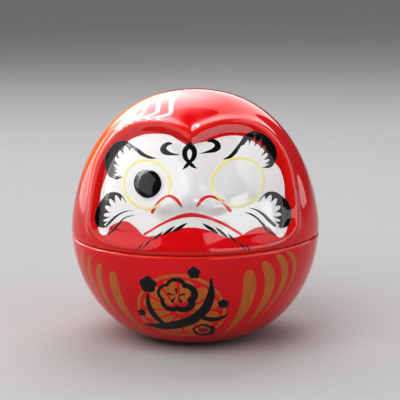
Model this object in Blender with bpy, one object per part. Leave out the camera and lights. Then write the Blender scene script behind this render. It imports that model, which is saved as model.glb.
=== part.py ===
"""Lidded jar in the form of a daruma doll.

A shallow bowl stands on a turned foot ring.  A tall lid, which carries the doll's hood and
face in relief, drops into it on a collar, and a soft ring in the collar's groove seals the two.
The lid lifts straight off and turns freely on the ring.

Metres, +Z up.  The origin is the centre of the foot, and the face looks towards -Y.
"""

from math import pi, radians

import bmesh
import bpy
import numpy as np
from mathutils import Matrix, Vector

MM = 0.001

# The body, which is round apart from the face.
BODY_WIDTH = 90.0 * MM
BODY_HEIGHT = 90.0 * MM
FOOT_RADIUS = 16.5 * MM
WIDEST_HEIGHT = 41.0 * MM
SEAM_HEIGHT = 38.0 * MM
FLANK_HANDLES = ((0.593, 0.093), (1.0, 0.498))
DOME_HANDLES = ((1.0, 0.118), (0.889, 1.0))

# Walls and edges.
BOWL_WALL = 3.6 * MM
LID_WALL = 3.5 * MM
RIM_WALL = 4.3 * MM
FLOOR_THICKNESS = 4.0 * MM
FLOOR_ROUNDING = 2.0 * MM
FOOT_RING_WIDTH = 4.0 * MM
FOOT_RECESS = 1.0 * MM
LIP_ROUNDING = 0.9 * MM
EDGE_CHAMFER = 0.5 * MM

# Collar, groove and seal, with the clearances between them.
FIT_GAP = 0.3 * MM
COLLAR_CLEARANCE = 1.0 * MM
COLLAR_DEPTH = 7.0 * MM
COLLAR_END_GAP = 1.8 * MM
COLLAR_WALL = 2.8 * MM
GROOVE_DEPTH = 1.0 * MM
SEAL_HEIGHT = 2.4 * MM
SEAL_LIP = 0.35 * MM

# The hood's inner edge: azimuth from the face's centre line in degrees, and the share of the
# lid's height above the seam.  The left half mirrors these points.
HOOD_EDGE = (
    (0.0, 0.712), (9.4, 0.754), (24.2, 0.785), (41.1, 0.762), (51.1, 0.677), (54.2, 0.548),
    (52.1, 0.404), (50.3, 0.269), (49.0, 0.154), (43.6, 0.081), (33.8, 0.050), (15.5, 0.042),
)
HOOD_CURVE_STEPS = 6
FACE_RECESS = 2.0 * MM
RECESS_SLOPE = 3.2 * MM
RIDGE_HEIGHT = 1.1 * MM
RIDGE_OFFSET = 3.2 * MM
RIDGE_WIDTH = 2.8 * MM
RIM_FADE = 6.0 * MM
VALLEY_DEPTH = 0.35 * MM
VALLEY_WIDTH = 3.0 * MM
# Shares of the lid's height where the valley above the hood's point starts, is full, starts to
# fade and is gone.
VALLEY_SHARES = (0.692, 0.788, 0.808, 0.942)

# Bumps on the face: azimuth in degrees, share of the lid's height, height of the bump, half
# width, reach upwards and reach downwards.
EYEBALLS = (
    (-22.0, 0.462, 1.5 * MM, 6.8 * MM, 6.8 * MM, 6.8 * MM),
    (23.3, 0.458, 0.6 * MM, 8.0 * MM, 8.0 * MM, 8.0 * MM),
)
NOSE = (
    (0.0, 0.452, 2.0 * MM, 5.2 * MM, 8.0 * MM, 5.5 * MM),
    (0.0, 0.358, 2.1 * MM, 5.6 * MM, 4.6 * MM, 3.4 * MM),
    (-11.4, 0.327, 1.9 * MM, 4.4 * MM, 4.2 * MM, 2.5 * MM),
    (11.4, 0.327, 1.9 * MM, 4.4 * MM, 4.2 * MM, 2.5 * MM),
)
CHIN = (
    (0.0, 0.135, 1.5 * MM, 14.0 * MM, 5.5 * MM, 5.0 * MM),
)
INNER_RELIEF = 0.85

# Fineness of the turned surfaces.
CURVE_SAMPLES = 400
TURN_STEPS = 56
FACE_HALF_ANGLE = radians(75.0)
FACE_STEPS = 50
BACK_STEPS = 28
FLANK_ROWS = 11
DOME_ROWS = 25
DOME_INNER_ROWS = 10
LIP_ROWS = 3
SHOULDER_ROWS = 4
MERGE_DISTANCE = 1e-6

MATERIALS = {
    "red_glaze": ((0.61, 0.004, 0.010), 0.12, 0.0),
    "silicone": ((0.74, 0.74, 0.70), 0.55, 0.0),
}


def bezier(start, first_handle, second_handle, end, count):
    """Points of a cubic Bezier curve at even steps of its parameter."""
    t = np.linspace(0.0, 1.0, count)[:, None]
    points = [np.asarray(point, dtype=float) for point in (start, first_handle, second_handle, end)]
    weights = ((1 - t) ** 3, 3 * (1 - t) ** 2 * t, 3 * (1 - t) * t ** 2, t ** 3)
    return sum(weight * point for weight, point in zip(weights, points))


def travelled(curve):
    """Distance along a polyline from its first point to each of its points."""
    steps = np.linalg.norm(np.diff(curve, axis=0), axis=1)
    return np.concatenate(([0.0], np.cumsum(steps)))


def evenly(curve, count):
    """The same curve as `count` points at even distances along it."""
    distance = travelled(curve)
    places = np.linspace(0.0, distance[-1], count)
    return np.stack([np.interp(places, distance, curve[:, axis]) for axis in (0, 1)], axis=1)


def outward(curve):
    """Unit normals of a profile that climbs from the foot to the crown."""
    tangent = np.gradient(curve, axis=0)
    normal = np.stack([tangent[:, 1], -tangent[:, 0]], axis=1)
    return normal / np.linalg.norm(normal, axis=1)[:, None]


def flank_curve():
    """Outer profile (radius, height) from the foot to the widest place."""
    half = BODY_WIDTH / 2
    (r1, h1), (r2, h2) = FLANK_HANDLES
    spread = half - FOOT_RADIUS
    return bezier(
        (FOOT_RADIUS, 0.0),
        (FOOT_RADIUS + r1 * spread, h1 * WIDEST_HEIGHT),
        (FOOT_RADIUS + r2 * spread, h2 * WIDEST_HEIGHT),
        (half, WIDEST_HEIGHT),
        CURVE_SAMPLES,
    )


def dome_curve():
    """Outer profile (radius, height) from the widest place to the crown."""
    half = BODY_WIDTH / 2
    rise = BODY_HEIGHT - WIDEST_HEIGHT
    (r1, h1), (r2, h2) = DOME_HANDLES
    return bezier(
        (half, WIDEST_HEIGHT),
        (r1 * half, WIDEST_HEIGHT + h1 * rise),
        (r2 * half, WIDEST_HEIGHT + h2 * rise),
        (0.0, BODY_HEIGHT),
        CURVE_SAMPLES,
    )


FLANK = flank_curve()
DOME = dome_curve()
BODY = np.concatenate([FLANK, DOME[1:]])
BODY_CLIMB = travelled(BODY)

# Sizes that follow from the driving ones, so that what fits together stays together.
SEAM_RADIUS = float(np.interp(SEAM_HEIGHT, BODY[:, 1], BODY[:, 0]))
LID_RIM_HEIGHT = SEAM_HEIGHT + FIT_GAP
SKIRT_LEAST = 1.0 * MM
BORE_RADIUS = SEAM_RADIUS - RIM_WALL
COLLAR_RADIUS = BORE_RADIUS - COLLAR_CLEARANCE
COLLAR_INNER_RADIUS = COLLAR_RADIUS - COLLAR_WALL
COLLAR_BOTTOM = LID_RIM_HEIGHT - COLLAR_DEPTH
BORE_BOTTOM = COLLAR_BOTTOM - COLLAR_END_GAP
GROOVE_RADIUS = COLLAR_RADIUS - GROOVE_DEPTH
SEAL_MIDDLE = LID_RIM_HEIGHT - COLLAR_DEPTH / 2
GROOVE_HALF_HEIGHT = SEAL_HEIGHT / 2 + FIT_GAP
FLOOR_HEIGHT = FOOT_RECESS + FLOOR_THICKNESS


def radius_at(height):
    """Radius of the round body at a height."""
    return np.interp(height, BODY[:, 1], BODY[:, 0])


def climb_at(height):
    """Distance up the body's profile from the foot to a height."""
    return np.interp(height, BODY[:, 1], BODY_CLIMB)


def lid_height(share):
    """Height of a place on the lid, given as a share of the lid's height above the seam."""
    return SEAM_HEIGHT + np.asarray(share) * (BODY_HEIGHT - SEAM_HEIGHT)


def unrolled(azimuth_degrees, share):
    """Place on the lid's skin as distance round from the centre line and distance up."""
    height = lid_height(share)
    around = radius_at(height) * np.radians(azimuth_degrees)
    return np.stack([around, climb_at(height)], axis=-1)


def hood_outline():
    """Closed outline of the hood's edge: a Catmull-Rom curve through its points, unrolled."""
    right = np.array(HOOD_EDGE)
    left = right[:0:-1] * (-1.0, 1.0)
    knots = unrolled(*np.concatenate([right, left]).T)
    before, after, beyond = (np.roll(knots, shift, axis=0) for shift in (1, -1, -2))
    pieces = []
    for step in range(HOOD_CURVE_STEPS):
        t = step / HOOD_CURVE_STEPS
        pieces.append(0.5 * (
            2 * knots + (after - before) * t
            + (2 * before - 5 * knots + 4 * after - beyond) * t ** 2
            + (3 * knots - before - 3 * after + beyond) * t ** 3
        ))
    return np.stack(pieces, axis=1).reshape(-1, 2)


def distance_outside(places, outline):
    """Distance from each place to a closed outline, negative inside it."""
    start = outline[None, :, :]
    edge = np.roll(outline, -1, axis=0)[None, :, :] - start
    offset = places[:, None, :] - start
    along = np.clip((offset * edge).sum(2) / (edge ** 2).sum(2), 0.0, 1.0)
    nearest = np.linalg.norm(offset - along[..., None] * edge, axis=2).min(axis=1)
    below, above = offset[..., 1] >= 0.0, (offset - edge)[..., 1] >= 0.0
    side = edge[..., 0] * offset[..., 1] - edge[..., 1] * offset[..., 0]
    crossings = (below & ~above & (side < 0)).sum(1) - (~below & above & (side > 0)).sum(1)
    return np.where(crossings != 0, -nearest, nearest)


def smoothstep(low, high, value):
    """Smooth rise from 0 at `low` to 1 at `high`."""
    t = np.clip((value - low) / (high - low), 0.0, 1.0)
    return t * t * (3 - 2 * t)


def bumps(places, group):
    """Sum of bell-shaped bumps, each with its own reach sideways, upwards and downwards."""
    total = np.zeros(len(places))
    for azimuth, share, height, half_width, reach_up, reach_down in group:
        offset = places - unrolled(azimuth, share)
        reach = np.where(offset[:, 1] > 0.0, reach_up, reach_down)
        total += height * np.exp(-(offset[:, 0] / half_width) ** 2 - (offset[:, 1] / reach) ** 2)
    return total


def valley(places, height):
    """Depth of the groove that runs up from the hood's point over the dome."""
    low, full, hold, gone = (lid_height(share) for share in VALLEY_SHARES)
    along = smoothstep(low, full, height) * (1.0 - smoothstep(hold, gone, height))
    return VALLEY_DEPTH * along * np.exp(-(places[:, 0] / VALLEY_WIDTH) ** 2)


def relief(azimuth, height):
    """Height of the hood and face above the round body, along its normal.

    The face is sunk inside the hood's edge and the hood swells in a ridge outside it.  Both
    fade out towards the rim, so that the rim stays round and the lid can turn.
    """
    places = np.stack([radius_at(height) * azimuth, climb_at(height)], axis=1)
    outside = distance_outside(places, hood_outline())
    sunk = FACE_RECESS * (1.0 - smoothstep(-RECESS_SLOPE / 3, RECESS_SLOPE, outside))
    ridge = RIDGE_HEIGHT * np.exp(-((outside - RIDGE_OFFSET) / RIDGE_WIDTH) ** 2)
    features = bumps(places, EYEBALLS) + bumps(places, NOSE) + bumps(places, CHIN)
    clear_of_rim = smoothstep(0.0, RIM_FADE, places[:, 1] - climb_at(LID_RIM_HEIGHT + LIP_ROUNDING))
    return (ridge - sunk - valley(places, height) + features) * clear_of_rim


def quarter_turn(centre, radius, start_angle, end_angle, rows):
    """Points of an arc in the profile's plane, from one angle in degrees to another."""
    angles = np.radians(np.linspace(start_angle, end_angle, rows + 1))
    return [(centre[0] + radius * np.cos(a), centre[1] + radius * np.sin(a)) for a in angles]


def bowl_profile():
    """Closed half section of the bowl: underside, foot ring, flank, rim, bore and floor."""
    foot_inner = FOOT_RADIUS - FOOT_RING_WIDTH
    lip_height = SEAM_HEIGHT - LIP_ROUNDING
    flank = evenly(BODY[BODY[:, 1] < lip_height], FLANK_ROWS)
    lip = quarter_turn((SEAM_RADIUS - LIP_ROUNDING, lip_height), LIP_ROUNDING, 0, 90, LIP_ROWS)
    inner = (BODY - BOWL_WALL * outward(BODY))[BODY[:, 1] < BORE_BOTTOM - EDGE_CHAMFER]
    above_floor = inner[:, 1] - FLOOR_HEIGHT
    fillet = np.maximum(FLOOR_ROUNDING - np.abs(above_floor), 0.0) ** 2 / (4 * FLOOR_ROUNDING)
    inner[:, 1] = FLOOR_HEIGHT + np.maximum(above_floor, 0.0) + fillet
    inner = evenly(inner, FLANK_ROWS)
    underside = [(0.0, FOOT_RECESS), (foot_inner - EDGE_CHAMFER, FOOT_RECESS), (foot_inner, 0.0)]
    bore = [
        (BORE_RADIUS + EDGE_CHAMFER, SEAM_HEIGHT),
        (BORE_RADIUS, SEAM_HEIGHT - EDGE_CHAMFER),
        (BORE_RADIUS, BORE_BOTTOM),
    ]
    floor = [(0.0, FLOOR_HEIGHT)]
    rows = (underside, flank, lip, bore, inner[::-1], floor)
    return [tuple(point) for group in rows for point in group]


def seal_profile():
    """Closed section of the seal, about its middle height: two lips on a flat back."""
    inner, outer = GROOVE_RADIUS + FIT_GAP, BORE_RADIUS - FIT_GAP
    half = SEAL_HEIGHT / 2
    corner = SEAL_LIP / 2
    upper = [
        (outer - SEAL_LIP, corner), (outer, half / 2), (outer, half - SEAL_LIP),
        (outer - SEAL_LIP, half), (inner + corner, half), (inner, half - corner),
    ]
    return [(r, -h) for r, h in reversed(upper)] + upper


def lid_profile():
    """Half section of the lid, and for each point how far it follows the relief.

    It runs from the crown down the outside, round the rim, down and up the collar with its
    groove, over the shoulder inside, and up the inside to the crown.
    """
    lip_height = LID_RIM_HEIGHT + LIP_ROUNDING
    dome_start = max(WIDEST_HEIGHT, lip_height + SKIRT_LEAST)
    outside = evenly(DOME[DOME[:, 1] >= dome_start], DOME_ROWS)[::-1]
    between = (dome_start + lip_height) / 2
    skirt = [(radius_at(between), between), (radius_at(lip_height), lip_height)]
    lip_centre = (radius_at(lip_height) - LIP_ROUNDING, lip_height)
    rim = quarter_turn(lip_centre, LIP_ROUNDING, 0, -90, LIP_ROWS)[1:]
    collar = [
        (COLLAR_RADIUS + EDGE_CHAMFER, LID_RIM_HEIGHT),
        (COLLAR_RADIUS, LID_RIM_HEIGHT - EDGE_CHAMFER),
        (COLLAR_RADIUS, SEAL_MIDDLE + GROOVE_HALF_HEIGHT),
        (GROOVE_RADIUS, SEAL_MIDDLE + GROOVE_HALF_HEIGHT),
        (GROOVE_RADIUS, SEAL_MIDDLE - GROOVE_HALF_HEIGHT),
        (COLLAR_RADIUS, SEAL_MIDDLE - GROOVE_HALF_HEIGHT),
        (COLLAR_RADIUS, COLLAR_BOTTOM + EDGE_CHAMFER),
        (COLLAR_RADIUS - EDGE_CHAMFER, COLLAR_BOTTOM),
        (COLLAR_INNER_RADIUS + EDGE_CHAMFER, COLLAR_BOTTOM),
        (COLLAR_INNER_RADIUS, COLLAR_BOTTOM + EDGE_CHAMFER),
    ]
    inner = DOME - LID_WALL * outward(DOME)
    inner[-1, 0] = 0.0
    inner = inner[inner[:, 1] > LID_RIM_HEIGHT + 2 * LID_WALL]
    shoulder_start = np.array((COLLAR_INNER_RADIUS, LID_RIM_HEIGHT))
    reach = (inner[0, 1] - shoulder_start[1]) / 2
    shoulder = bezier(
        shoulder_start, shoulder_start + (0, reach), inner[0] - (0, reach), inner[0], SHOULDER_ROWS + 1
    )[:-1]
    inside = evenly(inner, DOME_INNER_ROWS)
    rows = (
        (outside, 1.0), (skirt, 1.0), (rim, 0.0), (collar, 0.0), (shoulder, 0.0), (inside, INNER_RELIEF)
    )
    points = [tuple(point) for group, _ in rows for point in group]
    follow = [amount for group, amount in rows for _ in group]
    return points, follow


def finish_mesh(bm, name, origin):
    """Close the turned shape, face it outwards and wrap it in a smooth-shaded object."""
    bmesh.ops.remove_doubles(bm, verts=bm.verts, dist=MERGE_DISTANCE)
    bmesh.ops.translate(bm, verts=bm.verts, vec=-origin)
    bmesh.ops.recalc_face_normals(bm, faces=bm.faces)
    mesh = bpy.data.meshes.new(name)
    bm.to_mesh(mesh)
    bm.free()
    mesh.shade_smooth()
    mesh.set_sharp_from_angle(angle=radians(35.0))
    obj = bpy.data.objects.new(name, mesh)
    bpy.context.scene.collection.objects.link(obj)
    return obj


def turn(bm, geometry, angle, steps):
    """Spin a profile about the jar's axis and give back its last copy."""
    result = bmesh.ops.spin(
        bm, geom=geometry, cent=(0, 0, 0), axis=(0, 0, 1), dvec=(0, 0, 0),
        angle=angle, steps=steps, use_merge=False, use_duplicate=False,
    )
    return result["geom_last"]


def profile_edges(bm, points, closed):
    """Draw a half section in the plane that holds the axis and the face's centre line."""
    verts = [bm.verts.new((0.0, -radius, height)) for radius, height in points]
    ends = verts[1:] + verts[:1] if closed else verts[1:]
    edges = [bm.edges.new(pair) for pair in zip(verts, ends)]
    return verts, edges


def make_bowl():
    """The shallow bowl, one turned body with its foot ring, rim and bore."""
    bm = bmesh.new()
    verts, edges = profile_edges(bm, bowl_profile(), closed=False)
    turn(bm, verts + edges, 2 * pi, TURN_STEPS)
    return finish_mesh(bm, "bowl", Vector((0, 0, 0)))


def make_seal_ring():
    """The soft ring, about its own middle height."""
    bm = bmesh.new()
    points = [(radius, SEAL_MIDDLE + height) for radius, height in seal_profile()]
    verts, edges = profile_edges(bm, points, closed=True)
    turn(bm, verts + edges, 2 * pi, TURN_STEPS)
    return finish_mesh(bm, "seal_ring", Vector((0, 0, SEAL_MIDDLE)))


def make_lid():
    """The lid: turned finely across the face and coarsely behind, then pushed into relief."""
    points, follow = lid_profile()
    bm = bmesh.new()
    follows = bm.verts.layers.float.new("follow")
    verts, edges = profile_edges(bm, points, closed=False)
    for vert, amount in zip(verts, follow):
        vert[follows] = amount
    bmesh.ops.rotate(bm, verts=verts, matrix=Matrix.Rotation(-FACE_HALF_ANGLE, 3, "Z"))
    last = turn(bm, verts + edges, 2 * FACE_HALF_ANGLE, FACE_STEPS)
    turn(bm, last, 2 * pi - 2 * FACE_HALF_ANGLE, BACK_STEPS)

    places = np.array([vert.co for vert in bm.verts])
    amounts = np.array([vert[follows] for vert in bm.verts])
    radius = np.hypot(places[:, 0], places[:, 1])
    azimuth = np.arctan2(places[:, 0], -places[:, 1])
    inside = (amounts > 0.0) & (amounts < 1.0)
    skin_normals = outward(BODY)
    heights = np.where(inside, 0.0, places[:, 2])
    inner_skin = BODY - LID_WALL * skin_normals
    dome_part = inner_skin[:, 1] > LID_RIM_HEIGHT
    heights[inside] = np.interp(
        places[inside, 2], inner_skin[dome_part, 1], BODY[dome_part, 1]
    )
    normal = np.stack([np.interp(heights, BODY[:, 1], skin_normals[:, axis]) for axis in (0, 1)], axis=1)
    push = amounts * relief(azimuth, heights)
    radius_out = radius + push * normal[:, 0]
    height_out = places[:, 2] + push * normal[:, 1]
    on_axis = radius < MERGE_DISTANCE
    radius_out[on_axis] = 0.0
    moved = np.stack([radius_out * np.sin(azimuth), -radius_out * np.cos(azimuth), height_out], axis=1)
    for vert, place in zip(bm.verts, moved):
        vert.co = place
    return finish_mesh(bm, "lid", Vector((0, 0, LID_RIM_HEIGHT)))


def make_material(name):
    """A Principled material from the table of finishes."""
    colour, roughness, metallic = MATERIALS[name]
    material = bpy.data.materials.new(name)
    material.use_nodes = True
    shader = material.node_tree.nodes["Principled BSDF"]
    shader.inputs["Base Color"].default_value = (*colour, 1.0)
    shader.inputs["Roughness"].default_value = roughness
    shader.inputs["Metallic"].default_value = metallic
    return material


def main():
    """Clear the scene, make the three pieces and set each on the one below it."""
    for obj in list(bpy.data.objects):
        bpy.data.objects.remove(obj, do_unlink=True)
    red_glaze = make_material("red_glaze")
    silicone = make_material("silicone")

    bowl = make_bowl()
    bowl.data.materials.append(red_glaze)

    seal_ring = make_seal_ring()
    seal_ring.data.materials.append(silicone)
    seal_ring.parent = bowl
    seal_ring.location = (0, 0, SEAL_MIDDLE)

    lid = make_lid()
    lid.data.materials.append(red_glaze)
    lid.parent = seal_ring
    lid.location = (0, 0, LID_RIM_HEIGHT - SEAL_MIDDLE)


main()
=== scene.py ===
"""Looks of a lidded daruma jar: two glazed shells, the soft ring between them, and the doll's
face and belly as thin raised enamel.  It is laid out as an add-on and run as a script.

Metres, +Z up.  The face looks towards -Y.  Marks are given as they are painted, in millimetres
of the front elevation: across from the centre line (to the doll's left is +) and up from the
table.
"""

from math import pi, radians

import bmesh
import bpy
import numpy as np
from bpy.props import FloatProperty, FloatVectorProperty, IntProperty, PointerProperty
from mathutils import Matrix, Vector


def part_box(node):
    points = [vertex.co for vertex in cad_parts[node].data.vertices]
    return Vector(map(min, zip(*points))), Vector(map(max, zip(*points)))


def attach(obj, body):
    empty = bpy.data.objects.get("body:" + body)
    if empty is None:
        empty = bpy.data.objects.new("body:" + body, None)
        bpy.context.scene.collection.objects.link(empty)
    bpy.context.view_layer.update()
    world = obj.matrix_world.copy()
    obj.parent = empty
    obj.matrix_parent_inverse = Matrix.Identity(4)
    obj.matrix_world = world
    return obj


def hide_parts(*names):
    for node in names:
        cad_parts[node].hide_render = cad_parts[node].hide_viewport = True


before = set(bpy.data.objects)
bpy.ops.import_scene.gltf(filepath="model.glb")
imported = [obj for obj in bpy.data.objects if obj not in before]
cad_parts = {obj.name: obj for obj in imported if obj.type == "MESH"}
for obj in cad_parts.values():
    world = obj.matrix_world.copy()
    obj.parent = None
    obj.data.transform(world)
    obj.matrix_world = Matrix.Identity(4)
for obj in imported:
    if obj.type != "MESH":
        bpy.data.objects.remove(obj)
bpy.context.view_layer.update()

bl_info = {
    "name": "Daruma jar",
    "version": (1, 0, 0),
    "blender": (4, 5, 0),
    "location": "3D View > Sidebar > Daruma",
    "description": "Glazed shells, enamel face and belly marks of a lidded daruma jar",
    "category": "Mesh",
}

MM = 0.001
BOWL_BOX, LID_BOX, SEAL_BOX = (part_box(node) for node in ("bowl", "lid", "seal_ring"))

# The round body, as the frame gives it.
HALF_WIDTH = (LID_BOX[1][0] - LID_BOX[0][0]) / 2
BODY_HEIGHT = LID_BOX[1][2]
SEAM_HEIGHT = BOWL_BOX[1][2]
COLLAR_BOTTOM = LID_BOX[0][2]
FOOT_RADIUS = 16.5 * MM
WIDEST_HEIGHT = 41.0 * MM
FLANK_HANDLES = ((0.593, 0.093), (1.0, 0.498))
DOME_HANDLES = ((1.0, 0.118), (0.889, 1.0))

# Walls, edges and the collar's fit.
BOWL_WALL = 3.6 * MM
LID_WALL = 3.5 * MM
RIM_WALL = 4.3 * MM
FLOOR_HEIGHT = 5.0 * MM
FLOOR_ROUNDING = 2.0 * MM
FOOT_RING_WIDTH = 4.0 * MM
FOOT_RECESS = 1.0 * MM
LIP_ROUNDING = 0.9 * MM
CORNER = 0.4 * MM
FIT_GAP = 0.3 * MM
COLLAR_CLEARANCE = 1.0 * MM
COLLAR_END_GAP = 1.8 * MM
COLLAR_WALL = 2.8 * MM
GROOVE_DEPTH = 1.0 * MM
SEAL_LIP = 0.35 * MM

# The hood's inner edge: azimuth in degrees and share of the lid's height above the seam.
HOOD_EDGE = (
    (0.0, 0.712), (9.4, 0.754), (24.2, 0.785), (41.1, 0.762), (51.1, 0.677), (54.2, 0.548),
    (52.1, 0.404), (50.3, 0.269), (49.0, 0.154), (43.6, 0.081), (33.8, 0.050), (15.5, 0.042),
)
HOOD_CURVE_STEPS = 6
FACE_RECESS = 2.0 * MM
RECESS_SLOPE = 3.2 * MM
RIDGE_HEIGHT = 1.1 * MM
RIDGE_OFFSET = 3.2 * MM
RIDGE_WIDTH = 2.8 * MM
RIM_FADE = 6.0 * MM
VALLEY_DEPTH = 0.35 * MM
VALLEY_WIDTH = 3.0 * MM
VALLEY_SHARES = (0.692, 0.788, 0.808, 0.942)
INNER_RELIEF = 0.85

# Bell-shaped bumps: azimuth in degrees, share of the lid's height, height, half width, reach
# upwards and reach downwards, all but the first two in millimetres.
BELLS = (
    (0.0, 0.452, 2.0, 5.2, 8.0, 5.5),
    (0.0, 0.358, 2.1, 5.6, 4.6, 3.4),
    (-11.4, 0.327, 1.9, 4.4, 4.2, 2.5),
    (11.4, 0.327, 1.9, 4.4, 4.2, 2.5),
    (0.0, 0.135, 1.5, 14.0, 5.5, 5.0),
    (-22.2, 0.462, 0.7, 8.0, 8.0, 8.0),
    (23.3, 0.458, 0.45, 8.5, 8.5, 8.5),
)
# Round bumps with an edge: azimuth, share, radius, height and how steep the edge is (low is steep).
DOMES = (
    (-21.6, 0.463, 5.3, 1.0, 0.6),
    (23.3, 0.458, 6.3, 0.22, 0.9),
)

# Fineness of the meshes.
PROFILE_SAMPLES = 1200
FACE_HALF_ANGLE = radians(64.0)
FACE_COLUMNS = 250
BACK_COLUMNS = 96
BOWL_COLUMNS = 360
SEAL_COLUMNS = 240
OUTER_STEP = 0.42 * MM
INNER_STEP = 1.3 * MM
LIP_ROWS = 8
CORNER_ROWS = 4
STROKE_STEPS = 10
STROKE_ROWS = 11
SHEET_ROWS = 15
MERGE_DISTANCE = 1e-8
LEAST_WIDTH = 0.03 * MM
CHUNK = 4000
PANEL_ROWS = 90
PETAL_ROWS = 11
PETAL_COLUMNS = 40
RIM_POINTS = 60
FLOOR_POINTS = 121

# Red glaze thin on edges, painted shade at the foot and in the hood's crease: widths and places of the bells.
BOWL_LIP_THIN = 1.0 * MM
LID_RIM_THIN = 0.9 * MM
CREST_THIN = 0.55
FOOT_SHADE = 9.0 * MM
HOOD_SHADE_OFFSET = 0.8 * MM
HOOD_SHADE_WIDTH = 1.4 * MM
SEAL_ROUNDING = 0.18 * MM


# ---------------------------------------------------------------- sizes and colours


def length_property(name, description, default):
    """A length in the panel, in metres."""
    return FloatProperty(
        name=name, description=description, default=default, min=0.0, precision=5,
        subtype="DISTANCE", unit="LENGTH")


def angle_property(name, description, degrees):
    """An angle in the panel, given in degrees."""
    return FloatProperty(
        name=name, description=description, default=radians(degrees), subtype="ANGLE",
        unit="ROTATION")


def factor_property(name, description, default):
    """A plain factor or brightness in the panel."""
    return FloatProperty(name=name, description=description, default=default, min=0.0)


def count_property(name, description, default):
    """A whole number in the panel."""
    return IntProperty(name=name, description=description, default=default, min=3, max=20)


def colour_property(name, description, default):
    """A linear colour in the panel."""
    return FloatVectorProperty(
        name=name, description=description, default=default, size=3, min=0.0, max=1.0,
        subtype="COLOR")


class EnamelSizes(bpy.types.PropertyGroup):
    """Thickness and line widths of the painted marks."""

    panel_lift: length_property("Panel lift", "Thickness of the white face panel", 0.06 * MM)
    mark_lift: length_property("Mark lift", "Height of the face's marks above the glaze", 0.13 * MM)
    belly_lift: length_property("Belly lift", "Thickness of the copper belly marks", 0.05 * MM)
    ink_lift: length_property("Ink lift", "Height of the plum branch above the glaze", 0.11 * MM)
    sink: length_property("Sink", "How deep each mark reaches into the glaze below it", 0.06 * MM)
    edge_width: length_property("Rounded edge", "Width of a mark's rounded edge", 0.25 * MM)
    eye_line: length_property("Eye line", "Width of the yellow rings round the eyes", 1.3 * MM)
    hair_weight: factor_property("Hair weight", "Factor on the widths of whiskers and hairs", 1.45)
    brow_bristles: count_property("Brow bristles", "White gaps along an eyebrow's inner edge", 8)
    beard_bristles: count_property("Beard bristles", "White gaps along a side beard's inner edge", 7)
    petals: count_property("Petals", "Petals of the belly medallion", 12)
    medallion_width: length_property("Medallion width", "Outer width of the medallion", 32.0 * MM)
    medallion_height: length_property("Medallion height", "Outer height along the skin", 30.0 * MM)


class GlazeColours(bpy.types.PropertyGroup):
    """Colours of the glazes, enamels and bare materials, as linear values."""

    red: colour_property("Red glaze", "Red glaze where it lies evenly", (0.760, 0.004, 0.010))
    # The deep red is also painted shade at the foot and in the crease at the hood's edge.
    red_deep: colour_property("Deep red", "Red glaze where it pools", (0.500, 0.001, 0.006))
    red_thin: colour_property("Thin red", "Red glaze where it runs thin on a crest", (0.800, 0.035, 0.014))
    white: colour_property("White enamel", "White of the face", (0.800, 0.780, 0.765))
    black: colour_property("Black enamel", "Black of the brows, beard and brush work", (0.004, 0.004, 0.005))
    line_red: colour_property("Line red", "Nose and mouth lines", (0.700, 0.006, 0.020))
    yellow: colour_property("Eye yellow", "Rings round the eyes", (0.870, 0.760, 0.260))
    copper: colour_property("Copper", "Belly stripes and medallion where thick", (0.610, 0.190, 0.028))
    copper_dark: colour_property("Dark copper", "Copper paint where the brush ran dry", (0.400, 0.075, 0.015))
    inner_white: colour_property("Inner glaze", "White glaze inside the jar", (0.800, 0.780, 0.720))
    clay: colour_property("Clay", "Bare clay of the foot and the seat", (0.620, 0.560, 0.470))
    silicone: colour_property("Silicone", "Seal ring", (0.740, 0.740, 0.700))
    floor: colour_property("Floor", "Pale studio floor", (0.530, 0.530, 0.535))


class StageSettings(bpy.types.PropertyGroup):
    """Camera place and strengths of the lights."""

    distance: length_property("Camera distance", "From the camera to the jar's middle", 0.6)
    elevation: angle_property("Elevation", "Camera's height above the horizon", 11.16)
    azimuth: angle_property("Azimuth", "How far round the camera stands from the front", 2.0)
    roll: angle_property("Roll", "Turn of the camera about its view", 0.8)
    lens: FloatProperty(
        name="Lens", description="Focal length in millimetres", default=147.8, min=20.0,
        subtype="DISTANCE_CAMERA")
    key: factor_property("Key", "Brightness of the large soft light", 2.9)
    side: factor_property("Side", "Brightness of the soft light at the right", 0.8)
    top: factor_property("Top", "Brightness of the soft light above and behind", 3.0)
    rim: factor_property("Rim", "Brightness of the soft light behind at the left", 2.4)
    fill: factor_property("Fill", "Brightness of the surrounding room", 0.36)
    glow: factor_property("Back glow", "Mirrored brightness behind at the left", 4.2)
    back: factor_property("Back", "Mirrored brightness straight behind", 2.2)
    slats: factor_property("Slats", "Mirrored brightness of the slats", 14.0)
    cards: factor_property("Cards", "Mirrored brightness of the cards", 2.2)
    pane: factor_property("Pane", "Mirrored brightness of the window pane", 5.0)


# ---------------------------------------------------------------- curves and the round body


def bezier(start, first_handle, second_handle, end, count):
    """Cubic Bezier curve: its four points weighted by the Bernstein polynomials of t."""
    t = np.linspace(0.0, 1.0, count)[:, None]
    points = [np.asarray(point, dtype=float) for point in (start, first_handle, second_handle, end)]
    weights = ((1 - t) ** 3, 3 * (1 - t) ** 2 * t, 3 * (1 - t) * t ** 2, t ** 3)
    return sum(weight * point for weight, point in zip(weights, points))


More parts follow.
